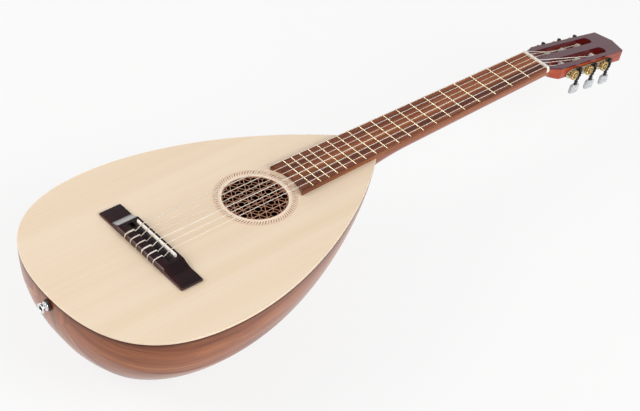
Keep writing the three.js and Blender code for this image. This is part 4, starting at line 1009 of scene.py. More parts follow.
neck = {
    "depthAtNut": 14.5, "depthBeforeHeel": 18, "heelLength": 62, "sectionPower": 2.3,
    "boardEndRadius": 58, "boardEdge": 0.5, "fretWidth": 1.7, "fretInset": 0.4,
}
head = {
    "tilt": 0.1815, "faceHeight": 5.4, "rootWidth": 48.6, "earWidth": 62, "earPlace": 21, "tipWidth": 55,
    "length": 162, "point": 8, "thickness": 19, "veneer": 2, "slotInner": 6.7, "slotOuter": 21.5,
    "slotStart": 23, "slotEnd": 134, "rampStart": 8, "rampDepth": 8, "rootPower": 2.4, "earPower": 16,
    "flarePower": 1.35,
}
headMatrix = (
    Matrix.Translation((-nutThickness, 0, head["faceHeight"])) @ Matrix.Rotation(-head["tilt"], 4, "Y")
)


def fretPlace(n):
    return layout["scaleLength"] * (1 - 2 ** (-n / 12))


def neckHalfWidth(x):
    return lerp(layout["nutWidth"], layout["neckEndWidth"], x / layout["bodyStart"]) / 2


def halfSection(half, depth, power, steps):
    # from +Y under the middle to -Y
    angles = [math.pi * i / steps for i in range(steps + 1)]
    return [
        (half * signedPower(math.cos(a), 2 / power), -depth * signedPower(math.sin(a), 2 / power)) for a in angles
    ]


def neckDepth(x):
    heelDepth = -back["rimHeight"] + back["depth"] * (
        layout["neckEndWidth"] / 2 / layout["halfBody"]
    ) ** back["depthPower"]
    start = layout["bodyStart"]
    plain = lerp(neck["depthAtNut"], neck["depthBeforeHeel"], x / start)
    heel = max((x - start + neck["heelLength"]) / neck["heelLength"], 0)
    return lerp(plain, heelDepth, heel**2)


def makeNeck():
    end = layout["bodyStart"] - seatGap
    heelStart = layout["bodyStart"] - neck["heelLength"]
    slope = math.tan(head["tilt"])

    def ring(x, onHead=False):
        points = []
        for y, z in halfSection(neckHalfWidth(x), neckDepth(x), neck["sectionPower"], 48):
            at = -nutThickness + seatGap - (z - head["faceHeight"]) * slope if onHead else x
            points.append((at, y, z))
        return points

    rings = [ring(-nutThickness, True)]
    rings += [ring(x) for x in spaced(4, heelStart, 40)]
    rings += [ring(x) for x in spaced(heelStart, end, 30)[1:]]
    # the neck gets the browner mahogany, a painted sheen
    makePiece("neck_fine", loft(rings), neckMahoganyPaintedSheen, ["neck"], sharpest=50)


def makeFingerboard():
    radius = neck["boardEndRadius"]
    angle = 0.0
    for _ in range(20):
        angle = math.asin(neckHalfWidth(holeCentre - radius * math.cos(angle)) / radius)
    arc = [
        (holeCentre - radius * math.cos(a), radius * math.sin(a)) for a in spaced(angle, -angle, 48)
    ]
    half = layout["nutWidth"] / 2
    base = [(0.1, -half), *reversed(arc), (0.1, half)]
    board = slab(base, 0.02, boardTop, neck["boardEdge"], 3)
    makePiece("fingerboard_fine", board, oiledRosewood, ["fingerboard"], sharpest=35)
    frets = [makeFret(fretPlace(n)) for n in range(1, layout["fretCount"] + 1)]
    makePiece("frets", joined(*frets), groundNickel, ())


# The ends of a fret are dressed down: (distance from its end, share of its height).
fretEnds = ((0, 0.25), (0.35, 0.8), (0.9, 1))
fretTang = 0.4  # below the board's face, where the frets' sides start
fretShoulder = 0.15  # below the board's face, where their crown starts


def makeFret(x):
    half = neckHalfWidth(x) - neck["fretInset"]
    sections = [(-half + distance, share) for distance, share in fretEnds]
    sections += [(half - distance, share) for distance, share in reversed(fretEnds)]
    wide = neck["fretWidth"] / 2
    rings = []
    for y, share in sections:
        crown = [
            (
                x + wide * math.cos(a), y,
                boardTop - fretShoulder + (layout["fretHeight"] + fretShoulder) * share * math.sin(a),
            )
            for a in spaced(0, math.pi, 10)
        ]
        low = boardTop - fretTang
        rings.append([(x + wide, y, low), *crown, (x - wide, y, low)])
    return loft(rings)


makeNeck()
makeFingerboard()
print("neck and fingerboard made")


# Nut, saddle and bridge

strings = {
    "radii": (0.36, 0.41, 0.52, 0.37, 0.45, 0.55), "spreadAtNut": 42, "spreadAtSaddle": 56, "nutRise": 0.6,
    "nutBreak": 0.8,
}
nut = {"rise": 2.8, "endRadius": 3.4, "slotRoom": 0.25}
bridge = {
    "saddlePlace": 651.5, "saddleThickness": 3, "saddleLength": 77, "saddleTop": 12, "front": 6.2, "width": 31,
    "length": 165, "raised": 91, "scoop": 14, "scoopPower": 1.5, "height": 8.6, "wingHeight": 3.4, "wingEdge": 3.1,
    "rearRoll": 7, "rearDrop": 3, "wingRoll": 2.5, "wingDrop": 1,
    "slotFloor": 4.2, "tieWidth": 12.4, "channelStart": 4.6, "channelFloor": 3.6, "tieHoleHeight": 5.4,
    "tieHoleRadius": 1.3, "levelShare": 0.6,
}
nutFloor = boardTop + layout["fretHeight"] + strings["nutRise"]


def stringAcross(index, spread):
    return spread * (0.5 - index / (len(strings["radii"]) - 1))


def makeNut():
    half, top = layout["nutWidth"] / 2 - 0.05, boardTop + nut["rise"]
    front, rear = -0.12, -nutThickness - 0.12
    cuts = [stringAcross(i, strings["spreadAtNut"]) for i in range(6)]
    places = set(spaced(-half, half, 24))
    for r in spaced(0, nut["endRadius"], 8):
        places |= {half - r, -half + r}
    for y, radius in zip(cuts, strings["radii"]):
        room = radius + nut["slotRoom"]
        places |= {y - room - 0.05, y - room, y - room * 0.5, y, y + room * 0.5, y + room, y + room + 0.05}
    rings = []
    for y in sorted(places):
        over = max(abs(y) - (half - nut["endRadius"]), 0) / nut["endRadius"]
        droop = nut["endRadius"] * (1 - math.sqrt(max(1 - over * over, 0)))
        roof = top - droop
        slotDepth = 0
        for at, radius in zip(cuts, strings["radii"]):
            room = radius + nut["slotRoom"]
            if abs(y - at) <= room + 1e-6:
                slotDepth = roof - (nutFloor + 0.6 * room * (1 - math.sqrt(max(1 - ((y - at) / room) ** 2, 0))))
        level = roof - slotDepth
        rings.append([
            (front, y, 0), (front, y, level - 0.7), (front - 0.25, y, level - 0.15), (front - 0.8, y, level),
            (front - 2.2, y, level - 0.1), (rear + 1.1, y, level - 0.9), (rear + 0.3, y, level - 1.6),
            (rear, y, level - 2.4), (rear, y, 0),
        ])
    makePiece("nut_fine", loft(rings), buffedBone, ["nut"])


def makeSaddle():
    half, edge = bridge["saddleLength"] / 2, bridge["saddleThickness"] / 2
    low = bridge["slotFloor"] + seatGap
    rings = []
    for y in [-half, *spaced(-half + 0.3, -half + edge, 4), *spaced(half - edge, half - 0.3, 4), half]:
        over = max(abs(y) - (half - edge), 0) / edge
        width = edge * max(math.sqrt(max(1 - over * over, 0)), 0.25)
        crown = [
            (width * math.cos(a), bridge["saddleTop"] - edge * 0.8 * (1 - math.sin(a)))
            for a in spaced(0, math.pi, 10)
        ]
        ring = [(width, low), *crown, (-width, low)]
        rings.append([(bridge["saddlePlace"] + x, y, z) for x, z in ring])
    makePiece("saddle_fine", loft(rings), buffedBone, ["saddle"])


def bridgeHeightAt(y):
    across = abs(y)
    raised, scoop = bridge["raised"] / 2, bridge["scoop"]
    if across <= raised:
        return bridge["height"]
    if across <= raised + scoop:
        # a hollow that is steepest beside the raised part
        share = (across - raised) / scoop
        return lerp(bridge["height"], bridge["wingHeight"], 1 - (1 - share) ** bridge["scoopPower"])
    level = lerp(raised + scoop, bridge["length"] / 2, bridge["levelShare"])
    if across <= level:
        return bridge["wingHeight"]
    return lerp(bridge["wingHeight"], bridge["wingEdge"], smooth((across - level) / (bridge["length"] / 2 - level)))


def makeBridge():
    start = bridge["saddlePlace"] - bridge["front"]
    end = start + bridge["width"]
    half = bridge["length"] / 2
    raised, scoop = bridge["raised"] / 2, bridge["scoop"]
    ys = spaced(0, raised, 10) + spaced(raised, raised + scoop, 24)[1:] + spaced(raised + scoop, half, 14)[1:]
    ys = [-y for y in reversed(ys[1:])] + ys
    rings = []
    for y in ys:  # each section is rolled over at its rear edge
        high = bridgeHeightAt(y)
        share = (high - bridge["wingEdge"]) / (bridge["height"] - bridge["wingEdge"])
        roll = lerp(bridge["wingRoll"], bridge["rearRoll"], share)
        drop = lerp(bridge["wingDrop"], bridge["rearDrop"], share)
        arc = [
            (end - roll * (1 - math.sin(a)), y, high - drop * (1 - math.cos(a)))
            for a in spaced(0, math.pi / 2, 8)
        ]
        rings.append([(start, y, 0.02), (start, y, high), *arc, (end, y, 0.02)])
    place, above = bridge["saddlePlace"], 20
    slotHalf, slotEnd = bridge["saddleThickness"] / 2 + 0.1, bridge["saddleLength"] / 2 + 0.1
    slot = boxShape(
        (place - slotHalf, -slotEnd, bridge["slotFloor"]), (place + slotHalf, slotEnd, above)
    )
    channelHalf = (bridge["raised"] - bridge["scoop"] / 2) / 2
    tieStart = end - bridge["tieWidth"]
    channel = boxShape(
        (place + bridge["channelStart"], -channelHalf, bridge["channelFloor"]),
        (tieStart, channelHalf, above),
    )
    shape = softened(carved(loft(rings), slot, channel), 0.45, 3, 40)
    holes = []
    for i in range(6):
        y = stringAcross(i, strings["spreadAtSaddle"])
        turn = (
            Matrix.Translation((tieStart - 1, y, bridge["tieHoleHeight"]))
            @ Matrix.Rotation(math.pi / 2, 4, "Y")
        )
        radius = bridge["tieHoleRadius"]
        holes.append(moved(turned([(radius, 0), (radius, bridge["tieWidth"] + 2)], 24), turn))
    shape = carved(shape, *holes)
    makePiece("bridge_fine", shape, stainedRosewood, ["bridge"], sharpest=35)


makeNut()
makeSaddle()
makeBridge()
print("nut, saddle and bridge made")


# Head

def headHalfWidth(place):
    if place < head["earPlace"]:
        return lerp(head["rootWidth"], head["earWidth"], (max(place, 0) / head["earPlace"]) ** head["flarePower"]) / 2
    share = (place - head["earPlace"]) / (head["length"] - head["earPlace"])
    return lerp(head["earWidth"], head["tipWidth"], share) / 2


def slotAcross(side):
    # half a slot's width, and where its middle is
    inner, outer = head["slotInner"], head["slotOuter"]
    return (outer - inner) / 2, side * (outer + inner) / 2


def slotCutter(side):
    radius, middle = slotAcross(side)
    far = -head["slotEnd"] + radius
    arc = [(far - radius * math.sin(a), middle + radius * math.cos(a)) for a in spaced(0, math.pi, 24)]
    base = [(-head["slotStart"], middle + radius), *arc, (-head["slotStart"], middle - radius)]
    return slab(base, -head["thickness"] - 5, 5)


def rampCutter(side):
    # a round-bottomed scoop that leads the strings down into the slot
    radius, middle = slotAcross(side)
    slope = math.atan2(head["rampDepth"], head["slotStart"] - head["rampStart"])
    direction = Vector((-math.cos(slope), 0, -math.sin(slope)))
    up = Vector((-math.sin(slope), 0, math.cos(slope)))
    foot = Vector((-head["rampStart"], middle, 0)) + up * radius
    rings = []
    for distance in (-12, 24):
        centre = foot + direction * distance
        rings.append([
            centre + (Vector((0, math.cos(a), 0)) + up * math.sin(a)) * radius * 0.99
            for a in spaced(0, 2 * math.pi, 40)[:-1]
        ])
    return loft(rings)


def makeHead():
    top = -head["veneer"] - 0.02
    depth = head["thickness"] + top
    ear, length, point = head["earPlace"], head["length"], head["point"]
    rings = []
    for place in spaced(0, ear, 26) + spaced(ear, length, 20)[1:] + [length + point * 0.985]:
        power = lerp(head["rootPower"], head["earPower"], min(place / ear, 1) ** 2)
        half = headHalfWidth(min(place, length)) * (1 if place <= length else 0.015)
        rings.append([(-place, y, top + z) for y, z in halfSection(half, depth, power, 56)])
    seat = moved(boxShape((-nutThickness - 0.3, -60, -0.3), (40, 60, 60)), headMatrix.inverted())
    cutters = [slotCutter(1), slotCutter(-1), rampCutter(1), rampCutter(-1)]
    bores = []
    for side in (1, -1):
        for place in tunerPlaces:
            turn = (
                sideMatrix(side) @ Matrix.Translation((sidePlace(place), 0, 0))
                @ Matrix.Rotation(math.pi / 2, 4, "X")
            )
            reach = headHalfWidth(place) - head["slotInner"] + 3.2
            bores.append(moved(turned([(2.3, -3), (2.3, reach)], 24), turn))
    block = carved(loft(rings), seat, *cutters, *bores)

    def inSlot(centre, normal):
        local = headMatrix.inverted() @ centre
        return (
            abs((headMatrix.to_3x3().inverted() @ normal).z) < 0.75 and local.x < 2 - head["slotStart"]
            and head["slotInner"] - 0.3 < abs(local.y) < head["slotOuter"] + 0.3
        )

    # the slots' walls get the darker red, a painted shade
    makePiece(
        "headstock_fine", moved(block, headMatrix), glossMahogany, ["headstock"], sharpest=20,
        second=slotMahoganyPaintedShade, where=inSlot,
    )
    places = spaced(0.75, ear, 22) + [length]
    edge = [(-place, headHalfWidth(place)) for place in places]
    base = [*edge, (-length - point, 0), *[(x, -y) for x, y in reversed(edge)]]
    veneer = carved(slab(base, -head["veneer"], 0), *cutters)
    veneer = softened(veneer, 0.35, 2, 40)
    makePiece(
        "head_veneer_fine", moved(veneer, headMatrix), glossVeneer, ["head_veneer"],
        sharpest=35,
    )


# Tuners

tuner = {
    "plateLength": 104, "plateHeight": 13.4, "plateLeaf": 9, "plateLeafPower": 0.6, "plateWaist": 0.16,
    "plateThickness": 1.2, "plateDrop": 12.5, "screws": (-49, -17.3, 17.3, 49), "firstRoller": 46,
    "pitch": 34.6, "rollerRadius": 6.2, "rollerBore": 2.3, "rollerEndGap": 0.6, "postRadius": 2,
    "teeth": 14, "gearRadius": 7, "gearWidth": 4, "wormRadius": 3, "wormAddendum": 0.8, "wormDedendum": 1,
    "wormTurns": 2.5, "standOff": 4.7, "shaftRadius": 1.6, "earThickness": 2, "earWidth": 5.6, "earReach": 2.9,
    "buttonTop": -17.6, "buttonHeight": 13.6, "buttonWidth": 19, "buttonThickness": 7.6,
}
tunerPlaces = [tuner["firstRoller"] + i * tuner["pitch"] for i in range(3)]
shaftDistance = tuner["gearRadius"] + tuner["wormRadius"]
plateMiddle = tunerPlaces[1] + shaftDistance / 2
plateFace = seatGap + tuner["plateThickness"]
wormPitch = math.pi
wormHalf = tuner["wormTurns"] * wormPitch / 2
earLow = wormHalf + seatGap
earHigh = earLow + tuner["earThickness"]


def sideMatrix(side):
    # the frame of one side's tuners: x along the head towards the nut, y out, z up
    taper = math.atan((head["earWidth"] - head["tipWidth"]) / 2 / (head["length"] - head["earPlace"]))
    return (
        Matrix.Translation((-plateMiddle, side * headHalfWidth(plateMiddle), -tuner["plateDrop"]))
        @ Matrix.Rotation(side * taper, 4, "Z") @ Matrix.Diagonal((1, side, 1, 1))
    )


def sidePlace(place):
    return plateMiddle - place


def slotWalls(place):
    edge = headHalfWidth(place)
    return head["slotInner"] - edge, head["slotOuter"] - edge


def plateOutline():
    # a stamped plate: a leaf at each end and a waist between two tuners
    half, steps = tuner["plateLength"] / 2, 120
    upper = []
    for x in [-half * math.cos(math.pi * i / steps) for i in range(steps + 1)]:
        leafShare = min((half - abs(x)) / tuner["plateLeaf"], 1)
        leaf = math.sin(math.pi / 2 * leafShare) ** tuner["plateLeafPower"]
        beside = (1 - math.cos(2 * math.pi * x / tuner["pitch"])) / 2
        upper.append((x, tuner["plateHeight"] / 2 * leaf * (1 - tuner["plateWaist"] * beside**2 * leafShare)))
    lower = [(x, -z) for x, z in reversed(upper)]
    return [*lower[1:-1], *upper]


def spiral(centre, radius, turns, start, way, steps=36):
    points = []
    for i in range(steps + 1):
        share = i / steps
        angle = start + way * 2 * math.pi * turns * share
        r = radius * (1 - 0.82 * share)
        points.append((centre[0] + r * math.cos(angle), centre[1] + r * math.sin(angle)))
    return points


# Scrolls beside each shaft: place along and up the plate, radius, turns and hand.
scrolls = ((8.4, 2.9, 2.5, 1.4, -1), (13.6, 2.2, 1.9, 1.3, 1))
vine = {"start": 3.4, "length": 13, "rise": 0.7}
scrollThickness = 0.34


def scrollRadius(share):
    # thinner towards both ends of a line
    inside = min(max(share, 0.02), 0.98)
    return scrollThickness * (0.55 + 0.45 * math.sin(math.pi * inside) ** 0.4)


def plateScrolls():
    # raised scrolls and leaves round each shaft, and a raised border
    face = plateFace + 0.02
    lines = []
    for place in tunerPlaces:
        middle = sidePlace(place) - shaftDistance
        for way in (1, -1):
            for up in (1, -1):
                for along, rise, radius, turns, hand in scrolls:
                    centre = (middle + way * along, up * rise)
                    lines.append(spiral(centre, radius, turns, hand * up * math.pi / 2, -hand * way * up))
        for way in (1, -1):
            lines.append([
                (middle + way * (vine["start"] + vine["length"] * s), vine["rise"] * math.sin(2 * math.pi * s))
                for s in spaced(0, 1, 24)
            ])
    border = [tuple(p) for p in inset(plateOutline(), 0.7)]
    lines.append(border[2:-2] + [border[2]])
    return joined(*[tube([(x, face, z) for x, z in line], scrollRadius, 8) for line in lines])


def onPlate(shape):
    # from a flat outline in x and y, raised along z, to the side's frame
    return moved(shape, Matrix(((1, 0, 0, 0), (0, 0, 1, 0), (0, 1, 0, 0), (0, 0, 0, 1))))


def makePlate(side, name):
    plate = onPlate(slab(plateOutline(), seatGap, plateFace, 0.3, 2))
    axis = plateFace + tuner["standOff"]
    ears, bores = [], []
    for place in tunerPlaces:
        middle = sidePlace(place) - shaftDistance
        half, end = tuner["earWidth"] / 2, tuner["earReach"]
        arc = [(middle + half * math.cos(a), axis + end * math.sin(a)) for a in spaced(0, math.pi, 20)]
        foot = plateFace - 0.3
        base = [(middle + half + 0.6, foot), *arc, (middle - half - 0.6, foot)]
        for low in (earLow, -earHigh):
            ears.append(slab(base, low, low + tuner["earThickness"], 0.35, 2, True))
        radius = tuner["shaftRadius"] + 0.12
        bores.append(loft([ringAt(radius, z, 32, (middle, axis)) for z in (-earHigh - 1, earHigh + 1)]))
        postBore = tuner["postRadius"] + 0.2
        post = Matrix.Translation((sidePlace(place), -2, 0)) @ Matrix.Rotation(-math.pi / 2, 4, "X")
        bores.append(moved(turned([(postBore, 0), (postBore, 6)], 32), post))
    shape = carved(carved(plate, *ears, operation="UNION"), *bores)
    frameMatrix = headMatrix @ sideMatrix(side)
    toPlate = frameMatrix.inverted()
    makePiece(
        f"{name}_fine", moved(shape, frameMatrix), goldPlating, [name], sharpest=32,
        second=blackOxide, where=lambda centre, normal: (toPlate @ centre).y > plateFace + 0.35,
    )
    makePiece(f"{name}_scrolls", moved(plateScrolls(), frameMatrix), agedBrass, ())
    screws = [makeScrew(x) for x in tuner["screws"]]
    makePiece(f"{name}_screws", moved(joined(*screws), frameMatrix), blackOxide, ())


def makeScrew(x):
    # a round-headed screw with a slot across it, each turned its own way
    profile = [(1.75, -0.3), (1.75, 0), (1.75, 0.25), (1.5, 0.7), (1.0, 1.0), (0.4, 1.1)]
    dome = carved(turned(profile, 32), boxShape((-2, -0.22, 0.6), (2, 0.22, 2)))
    upright = Matrix.Translation((x, plateFace, 0)) @ Matrix.Rotation(-math.pi / 2, 4, "X")
    return moved(dome, upright @ Matrix.Rotation(0.6 + x, 4, "Z"))


# Turned steps of the worm's shaft, as (height, radius) from the button up.
shaftSteps = [
    (-22.2, 1.55), (-17.35, 1.55), (-17.32, 2.7), (-17.0, 2.9), (-16.6, 2.9), (-16.2, 2.5), (-15.6, 2.0),
    (-14.6, 2.1), (-13.7, 2.6), (-13.0, 2.8), (-12.2, 2.6), (-11.5, 2.0), (-10.6, 1.8), (-9.8, 1.9),
    (-9.2, 2.3), (-8.6, 2.9), (-8.0, 3.1), (-7.4, 3.0), (-6.9, 2.6), (-6.55, 2.4), (-6.5, 1.6), (-4.1, 1.6),
]
shaftCrown = [
    (4.1, 1.6), (6.5, 1.6), (6.55, 2.5), (6.8, 2.9), (7.3, 3.0), (7.7, 2.6), (8.1, 2.5), (8.6, 2.9), (9.4, 3.1),
    (10.1, 2.8), (10.5, 1.8), (10.6, 0.05),
]


def wormRing(z, segments=40):
    # the thread stands out round one turn of the section and runs out at both ends
    fade = smooth((wormHalf - abs(z)) / 0.6)
    ring = []
    for i in range(segments):
        angle = 2 * math.pi * i / segments
        phase = (angle / (2 * math.pi) - z / wormPitch + 0.5) % 1 - 0.5
        height = smooth((0.36 - abs(phase)) / 0.22)
        low = tuner["wormRadius"] - tuner["wormDedendum"]
        radius = low + (tuner["wormAddendum"] + tuner["wormDedendum"]) * height * fade
        ring.append((radius * math.cos(angle), radius * math.sin(angle), z))
    return ring


def makeWorm(number, matrix):
    rings = [ringAt(radius, z, 40) for z, radius in shaftSteps]
    rings += [wormRing(z) for z in spaced(-wormHalf, wormHalf, 84)]
    rings += [ringAt(radius, z, 40) for z, radius in shaftCrown]
    makePiece(
        f"worm_{number}_fine", moved(loft(rings), matrix), blackOxide, [f"worm_{number}"],
        body=f"tuner_{number}_button",
    )


buttonWidths = [0.5, 0.76, 0.9, 0.95, 0.98, 1.0, 1.0, 0.99, 0.95, 0.84, 0.5]
buttonDepths = [0.3, 0.62, 0.88, 0.96, 1.0, 1.0, 1.0, 0.94, 0.8, 0.56, 0.2]
buttonDrops = [0, 0.02, 0.09, 0.2, 0.35, 0.52, 0.7, 0.84, 0.935, 0.985, 1.0]


def makeButton(number, matrix):
    rings = []
    for share in spaced(0, 1, 40):
        width = tuner["buttonWidth"] / 2 * curveThrough(buttonWidths, share)
        depth = tuner["buttonThickness"] / 2 * curveThrough(buttonDepths, share)
        z = tuner["buttonTop"] - tuner["buttonHeight"] * curveThrough(buttonDrops, share)
        ring = []
        for i in range(48):
            a = 2 * math.pi * i / 48
            ring.append((width * signedPower(math.cos(a), 0.8), depth * signedPower(math.sin(a), 0.8), z))
        rings.append(ring)
    makePiece(
        f"button_{number}_fine", moved(loft(rings), matrix), mouldedPearl, [f"button_{number}"],
        body=f"tuner_{number}_button",
    )


def makeGear(number, place, matrix):
    # a cut wheel with a dished face, on its collar and post, with a screw in the middle
    middle = plateFace + tuner["standOff"]
    teeth, radius, width = tuner["teeth"], tuner["gearRadius"], tuner["gearWidth"]
    lean = 0.5 / radius
    rings = []
    for y, shrink in ((-width / 2, 0.35), (-width / 2 + 0.35, 0), (width / 2 - 0.35, 0), (width / 2, 0.35)):
        ring = []
        for i in range(teeth * 10):
            tooth = i / 10
            phase = (tooth + 0.5) % 1 - 0.5
            height = smooth((0.34 - abs(phase)) / 0.2)
            r = radius - 1 + 1.75 * height - shrink
            angle = math.pi + (tooth + 0.5) * 2 * math.pi / teeth - lean * y
            ring.append((r * math.cos(angle), middle + y, r * math.sin(angle)))
        rings.append(ring)
    out = Matrix.Rotation(-math.pi / 2, 4, "X")
    inner = slotWalls(place)[0]
    face = middle + width / 2
    dish = turned([(4.6, face - 0.55), (4.7, face + 0.3)], 48)
    hub = turned([
        (tuner["postRadius"], inner - 2.9), (tuner["postRadius"], plateFace + seatGap - 0.1),
        (4, plateFace + seatGap), (4, middle - width / 2 + 0.2), (2.7, middle - width / 2 + 0.3), (2.7, face - 0.2),
        (2.6, face + 0.3), (2.0, face + 0.75), (1.0, face + 0.95),
    ], 48)
    wheel = carved(loft(rings), moved(dish, out))
    shape = carved(wheel, moved(hub, out), operation="UNION")
    slot = moved(boxShape((-3, -0.3, face + 0.45), (3, 0.3, face + 2)), out)
    shape = carved(shape, slot)

    def inDish(centre, normal):
        local = matrix.inverted() @ centre
        return math.hypot(local.x, local.z) < 4.7 and middle < local.y < face - 0.3

    makePiece(
        f"gear_{number}_fine", moved(shape, matrix), cutBrass, [f"gear_{number}"],
        body=f"tuner_{number}_roller", sharpest=32, second=agedBrass, where=inDish,
    )


def makeRoller(number, place, matrix):
    inner, outer = slotWalls(place)
    low, high = inner + tuner["rollerEndGap"], outer - tuner["rollerEndGap"]
    r, bore = tuner["rollerRadius"], tuner["rollerBore"]
    profile = [
        (bore, low), (r - 0.5, low), (r - 0.1, low + 0.2), (r, low + 0.6), (r, high - 0.6), (r - 0.1, high - 0.2),
        (r - 0.5, high), (bore, high),
    ]
    shape = moved(turnedRing(profile, 56), Matrix.Rotation(-math.pi / 2, 4, "X"))
    makePiece(
        f"roller_{number}_fine", moved(shape, matrix), buffedBone, [f"roller_{number}"],
        body=f"tuner_{number}_roller",
    )


def makeTuners():
    makePlate(1, "tuner_plate_treble")
    makePlate(-1, "tuner_plate_bass")
    for side in (1, -1):
        for index, place in enumerate(tunerPlaces):
            number = index + 1 if side > 0 else 6 - index
            base = headMatrix @ sideMatrix(side)
            shaft = base @ Matrix.Translation((sidePlace(place) - shaftDistance, plateFace + tuner["standOff"], 0))
            makeWorm(number, shaft)
            makeButton(number, shaft)
            post = base @ Matrix.Translation((sidePlace(place), 0, 0))
            makeGear(number, place, post)
            makeRoller(number, place, post)


makeHead()
makeTuners()
print("head and tuners made")


# Strings

winding = {"insets": (3.3, 7.2, 3.7), "turns": 2, "stepsPerTurn": 36, "gap": 0.15}
tie = {
    "gap": 0.25, "endHeight": 1.4, "loopRise": 0.35, "alongBlock": 9.5, "downTail": 3.6, "downHole": 2.9,
    "frontBend": 1.6, "holeBend": 0.9, "nutBend": 0.5, "saddleBend": 0.7,
}


def windingPath(nutPoint, index, radius):
    # round the roller, meeting the string from the nut at a tangent, in the frame of its side
    reach = tuner["rollerRadius"] + seatGap + radius
    x = sidePlace(tunerPlaces[index])
    distance = math.hypot(nutPoint.x - x, nutPoint.z)
    fall = math.atan2(nutPoint.z, nutPoint.x - x) - math.asin(reach / distance)
    outer = slotWalls(tunerPlaces[index])[1]
    path = []
    for i in range(winding["turns"] * winding["stepsPerTurn"] + 1):
        turn = i / winding["stepsPerTurn"]
        angle = math.pi / 2 + fall + 2 * math.pi * turn
        y = outer - winding["insets"][index] - (2 * radius + winding["gap"]) * turn
        path.append(Vector((x + reach * math.cos(angle), y, reach * math.sin(angle))))
    return path


def roundedPath(corners, bends):
    path = [corners[0]]
    for i in range(1, len(corners) - 1):
        corner, (into, out) = corners[i], bends[i]
        before = corner + (corners[i - 1] - corner).normalized() * into
        after = corner + (corners[i + 1] - corner).normalized() * out
        for t in spaced(0, 1, 10):
            path.append(before * (1 - t) ** 2 + corner * 2 * t * (1 - t) + after * t * t)
    return path + [corners[-1]]


def makeString(index):
    radius = strings["radii"][index]
    side = 1 if index < 3 else -1
    rollerIndex = index if side > 0 else 5 - index
    frameMatrix = headMatrix @ sideMatrix(side)
    overNut = Vector((
        -strings["nutBreak"], stringAcross(index, strings["spreadAtNut"]), nutFloor + seatGap + radius,
    ))
    wound = [frameMatrix @ p for p in windingPath(frameMatrix.inverted() @ overNut, rollerIndex, radius)]
    y = stringAcross(index, strings["spreadAtSaddle"])
    bridgeEnd = bridge["saddlePlace"] - bridge["front"] + bridge["width"]
    lift = bridge["height"] + seatGap + radius
    front = bridgeEnd - bridge["tieWidth"] - tie["gap"] - radius
    rear = bridgeEnd + tie["gap"] + radius
    hole = bridge["tieHoleHeight"]
    left, right = y - radius - 0.08, y + radius + 0.08
    loop = hole + 2 * radius + tie["loopRise"]
    # from its tucked end over the block, round the string in front, back over the block and in from behind
    corners = [
        Vector((rear, left, tie["endHeight"])), Vector((rear, left, lift)), Vector((front, left, lift)),
        Vector((front - 0.3, left, loop)), Vector((front - 0.3, right, loop)), Vector((front, right, lift)),
        Vector((rear, right, lift)), Vector((rear, y, hole)), Vector((front, y, hole)),
        Vector((bridge["saddlePlace"], y, bridge["saddleTop"] + seatGap + radius)), overNut, wound[0],
    ]
    turn, frontBend, holeBend = (radius * 0.95,) * 2, (tie["frontBend"],) * 2, (tie["holeBend"],) * 2
    bends = [
        (0, 0), (tie["downTail"], tie["alongBlock"]), frontBend, turn, turn, frontBend,
        (tie["alongBlock"], tie["downHole"]), holeBend, holeBend, (tie["saddleBend"],) * 2, (tie["nutBend"],) * 2,
    ]
    path = roundedPath(corners, bends)[:-1] + wound
    sides = 14
    shape = tube(path, radius, sides)
    grain, along = [], 0.0
    for i, p in enumerate(path):
        along += (p - path[i - 1]).length if i else 0
        grain += [(along, 0)] * sides
    plain = index < 3
    makePiece(
        f"string_{index + 1}_fine", shape, clearNylon if plain else woundWire, [f"string_{index + 1}"],
        grain=grain, sharpest=60,
    )


for index in range(6):
    makeString(index)
print("strings made")


# Pieces inside the body keep their solids and get their wood.
# the braces get the dark spruce, a painted shade
for name in ("brace_1", "brace_2", "brace_3"):
    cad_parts[name].data.materials[0] = braceSprucePaintedShade
for name in ("tail_block", "neck_block"):
    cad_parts[name].data.materials[0] = glossMahogany


# Floor, light and camera

studio = {
    "floorRadius": 9, "white": "#fafafa", "glow": "#fdfdfd", "floorTint": "#eeedeb",
    "floorTintLow": "#ecebe9", "shadowShare": 0.16,
    "skyLow": "#ffffff", "skyHigh": "#8f8f93", "skyStrength": 0.9,
}


def makeFloor():
    # Pale painted floor: the camera, metal and glass see it nearly white, and it keeps a soft shadow.
    material, tree = newMaterial("pale_painted_floor")
    grit = addNode(tree, "TexNoise", {}, {"Scale": 1 / (40 * mm), "Detail": 3})
    paint = ramp(tree, [(0.3, studio["floorTint"]), (0.7, studio["floorTintLow"])], grit.outputs["Fac"])
    matt = addNode(tree, "BsdfDiffuse", {}, {"Color": paint})
    glow = addNode(tree, "Emission", {}, {"Color": hexColour(studio["glow"]), "Strength": 1})
    rays = addNode(tree, "LightPath", {}, {}).outputs
    seen = combine(tree, "MAXIMUM", rays["Is Camera Ray"], rays["Is Glossy Ray"])
    seen = combine(tree, "MAXIMUM", seen, rays["Is Transmission Ray"])
    share = combine(tree, "MULTIPLY", seen, 1 - studio["shadowShare"])
    mixed = addNode(tree, "MixShader", {}, {0: share, 1: matt.outputs[0], 2: glow.outputs[0]})
    setSurface(tree, mixed)
    radius = studio["floorRadius"]
    mesh = bpy.data.meshes.new("floor")
    rim = [(radius * math.cos(2 * math.pi * i / 96), radius * math.sin(2 * math.pi * i / 96), 0) for i in range(96)]
    mesh.from_pydata(rim, [], [tuple(range(96))])
    mesh.materials.append(material)
    floor = bpy.data.objects.new("floor", mesh)
    bpy.context.scene.collection.objects.link(floor)


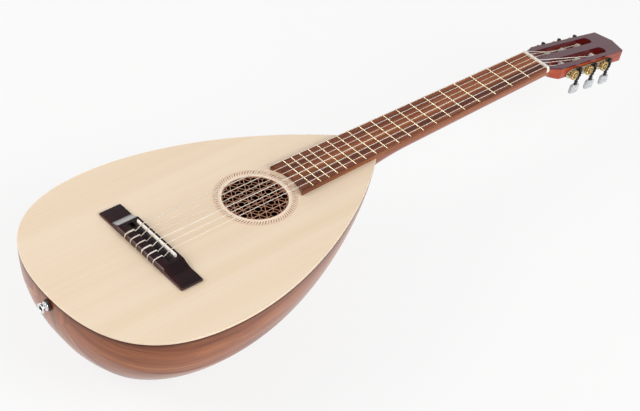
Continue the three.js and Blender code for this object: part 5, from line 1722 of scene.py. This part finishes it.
def makeSky():
    # Bright round the horizon and dimmer overhead, as a white cove under a dark ceiling.
    world = bpy.data.worlds.new("studio")
    bpy.context.scene.world = world
    world.use_nodes = True
    tree = world.node_tree
    tree.nodes.clear()
    direction = addNode(tree, "TexCoord", {}, {}).outputs["Generated"]
    height = addNode(tree, "SeparateXYZ", {}, {0: direction}).outputs["Z"]
    shade = addNode(tree, "ValToRGB", {"stops": [
        (0, studio["skyLow"]), (0.3, studio["skyLow"]), (0.62, studio["skyHigh"]), (1, studio["skyHigh"]),
    ]}, {"Fac": height})
    sky = addNode(tree, "Background", {}, {"Color": shade.outputs[0], "Strength": studio["skyStrength"]})
    white = addNode(tree, "Background", {}, {"Color": hexColour(studio["white"]), "Strength": 1})
    camera = addNode(tree, "LightPath", {}, {}).outputs["Is Camera Ray"]
    mixed = addNode(tree, "MixShader", {}, {0: camera, 1: sky.outputs[0], 2: white.outputs[0]})
    addNode(tree, "OutputWorld", {}, {"Surface": mixed.outputs[0]})


lamps = {
    "right": {"place": (-0.4, 2.0, 1.7), "size": 1.5, "power": 38},
    "left": {"place": (2.0, -1.1, 1.65), "size": 1.5, "power": 32},
    "far": {"place": (-0.64, -1.98, 0.52), "size": 1.2, "power": 9},
}


def makeLamp(name, lamp):
    light = bpy.data.lights.new(name, "AREA")
    light.shape = "DISK"
    light.size = lamp["size"]
    light.energy = lamp["power"]
    holder = bpy.data.objects.new(name, light)
    holder.location = lamp["place"]
    holder.rotation_euler = (Vector((0, 0, 0.1)) - Vector(lamp["place"])).to_track_quat("-Z", "Y").to_euler()
    bpy.context.scene.collection.objects.link(holder)


camera = {
    "place": (1.21526, 1.16512, 1.44411), "azimuth": 225.418, "elevation": 39.981, "roll": 6.114,
    "lens": 92.582,
}


def makeCamera():
    data = bpy.data.cameras.new("camera")
    data.lens = camera["lens"]
    data.sensor_width = 36
    data.clip_end = 40
    holder = bpy.data.objects.new("camera", data)
    azimuth, elevation = math.radians(camera["azimuth"]), math.radians(camera["elevation"])
    forward = Vector((
        math.cos(azimuth) * math.cos(elevation), math.sin(azimuth) * math.cos(elevation), -math.sin(elevation),
    ))
    roll = Matrix.Rotation(math.radians(camera["roll"]), 4, "Z")
    turn = forward.to_track_quat("-Z", "Y").to_matrix().to_4x4() @ roll
    holder.matrix_world = Matrix.Translation(camera["place"]) @ turn
    bpy.context.scene.collection.objects.link(holder)
    bpy.context.scene.camera = holder


makeFloor()
makeSky()
for name, lamp in lamps.items():
    makeLamp(name, lamp)
makeCamera()
bpy.context.scene.view_settings.view_transform = "Standard"
print("stage, light and camera made")
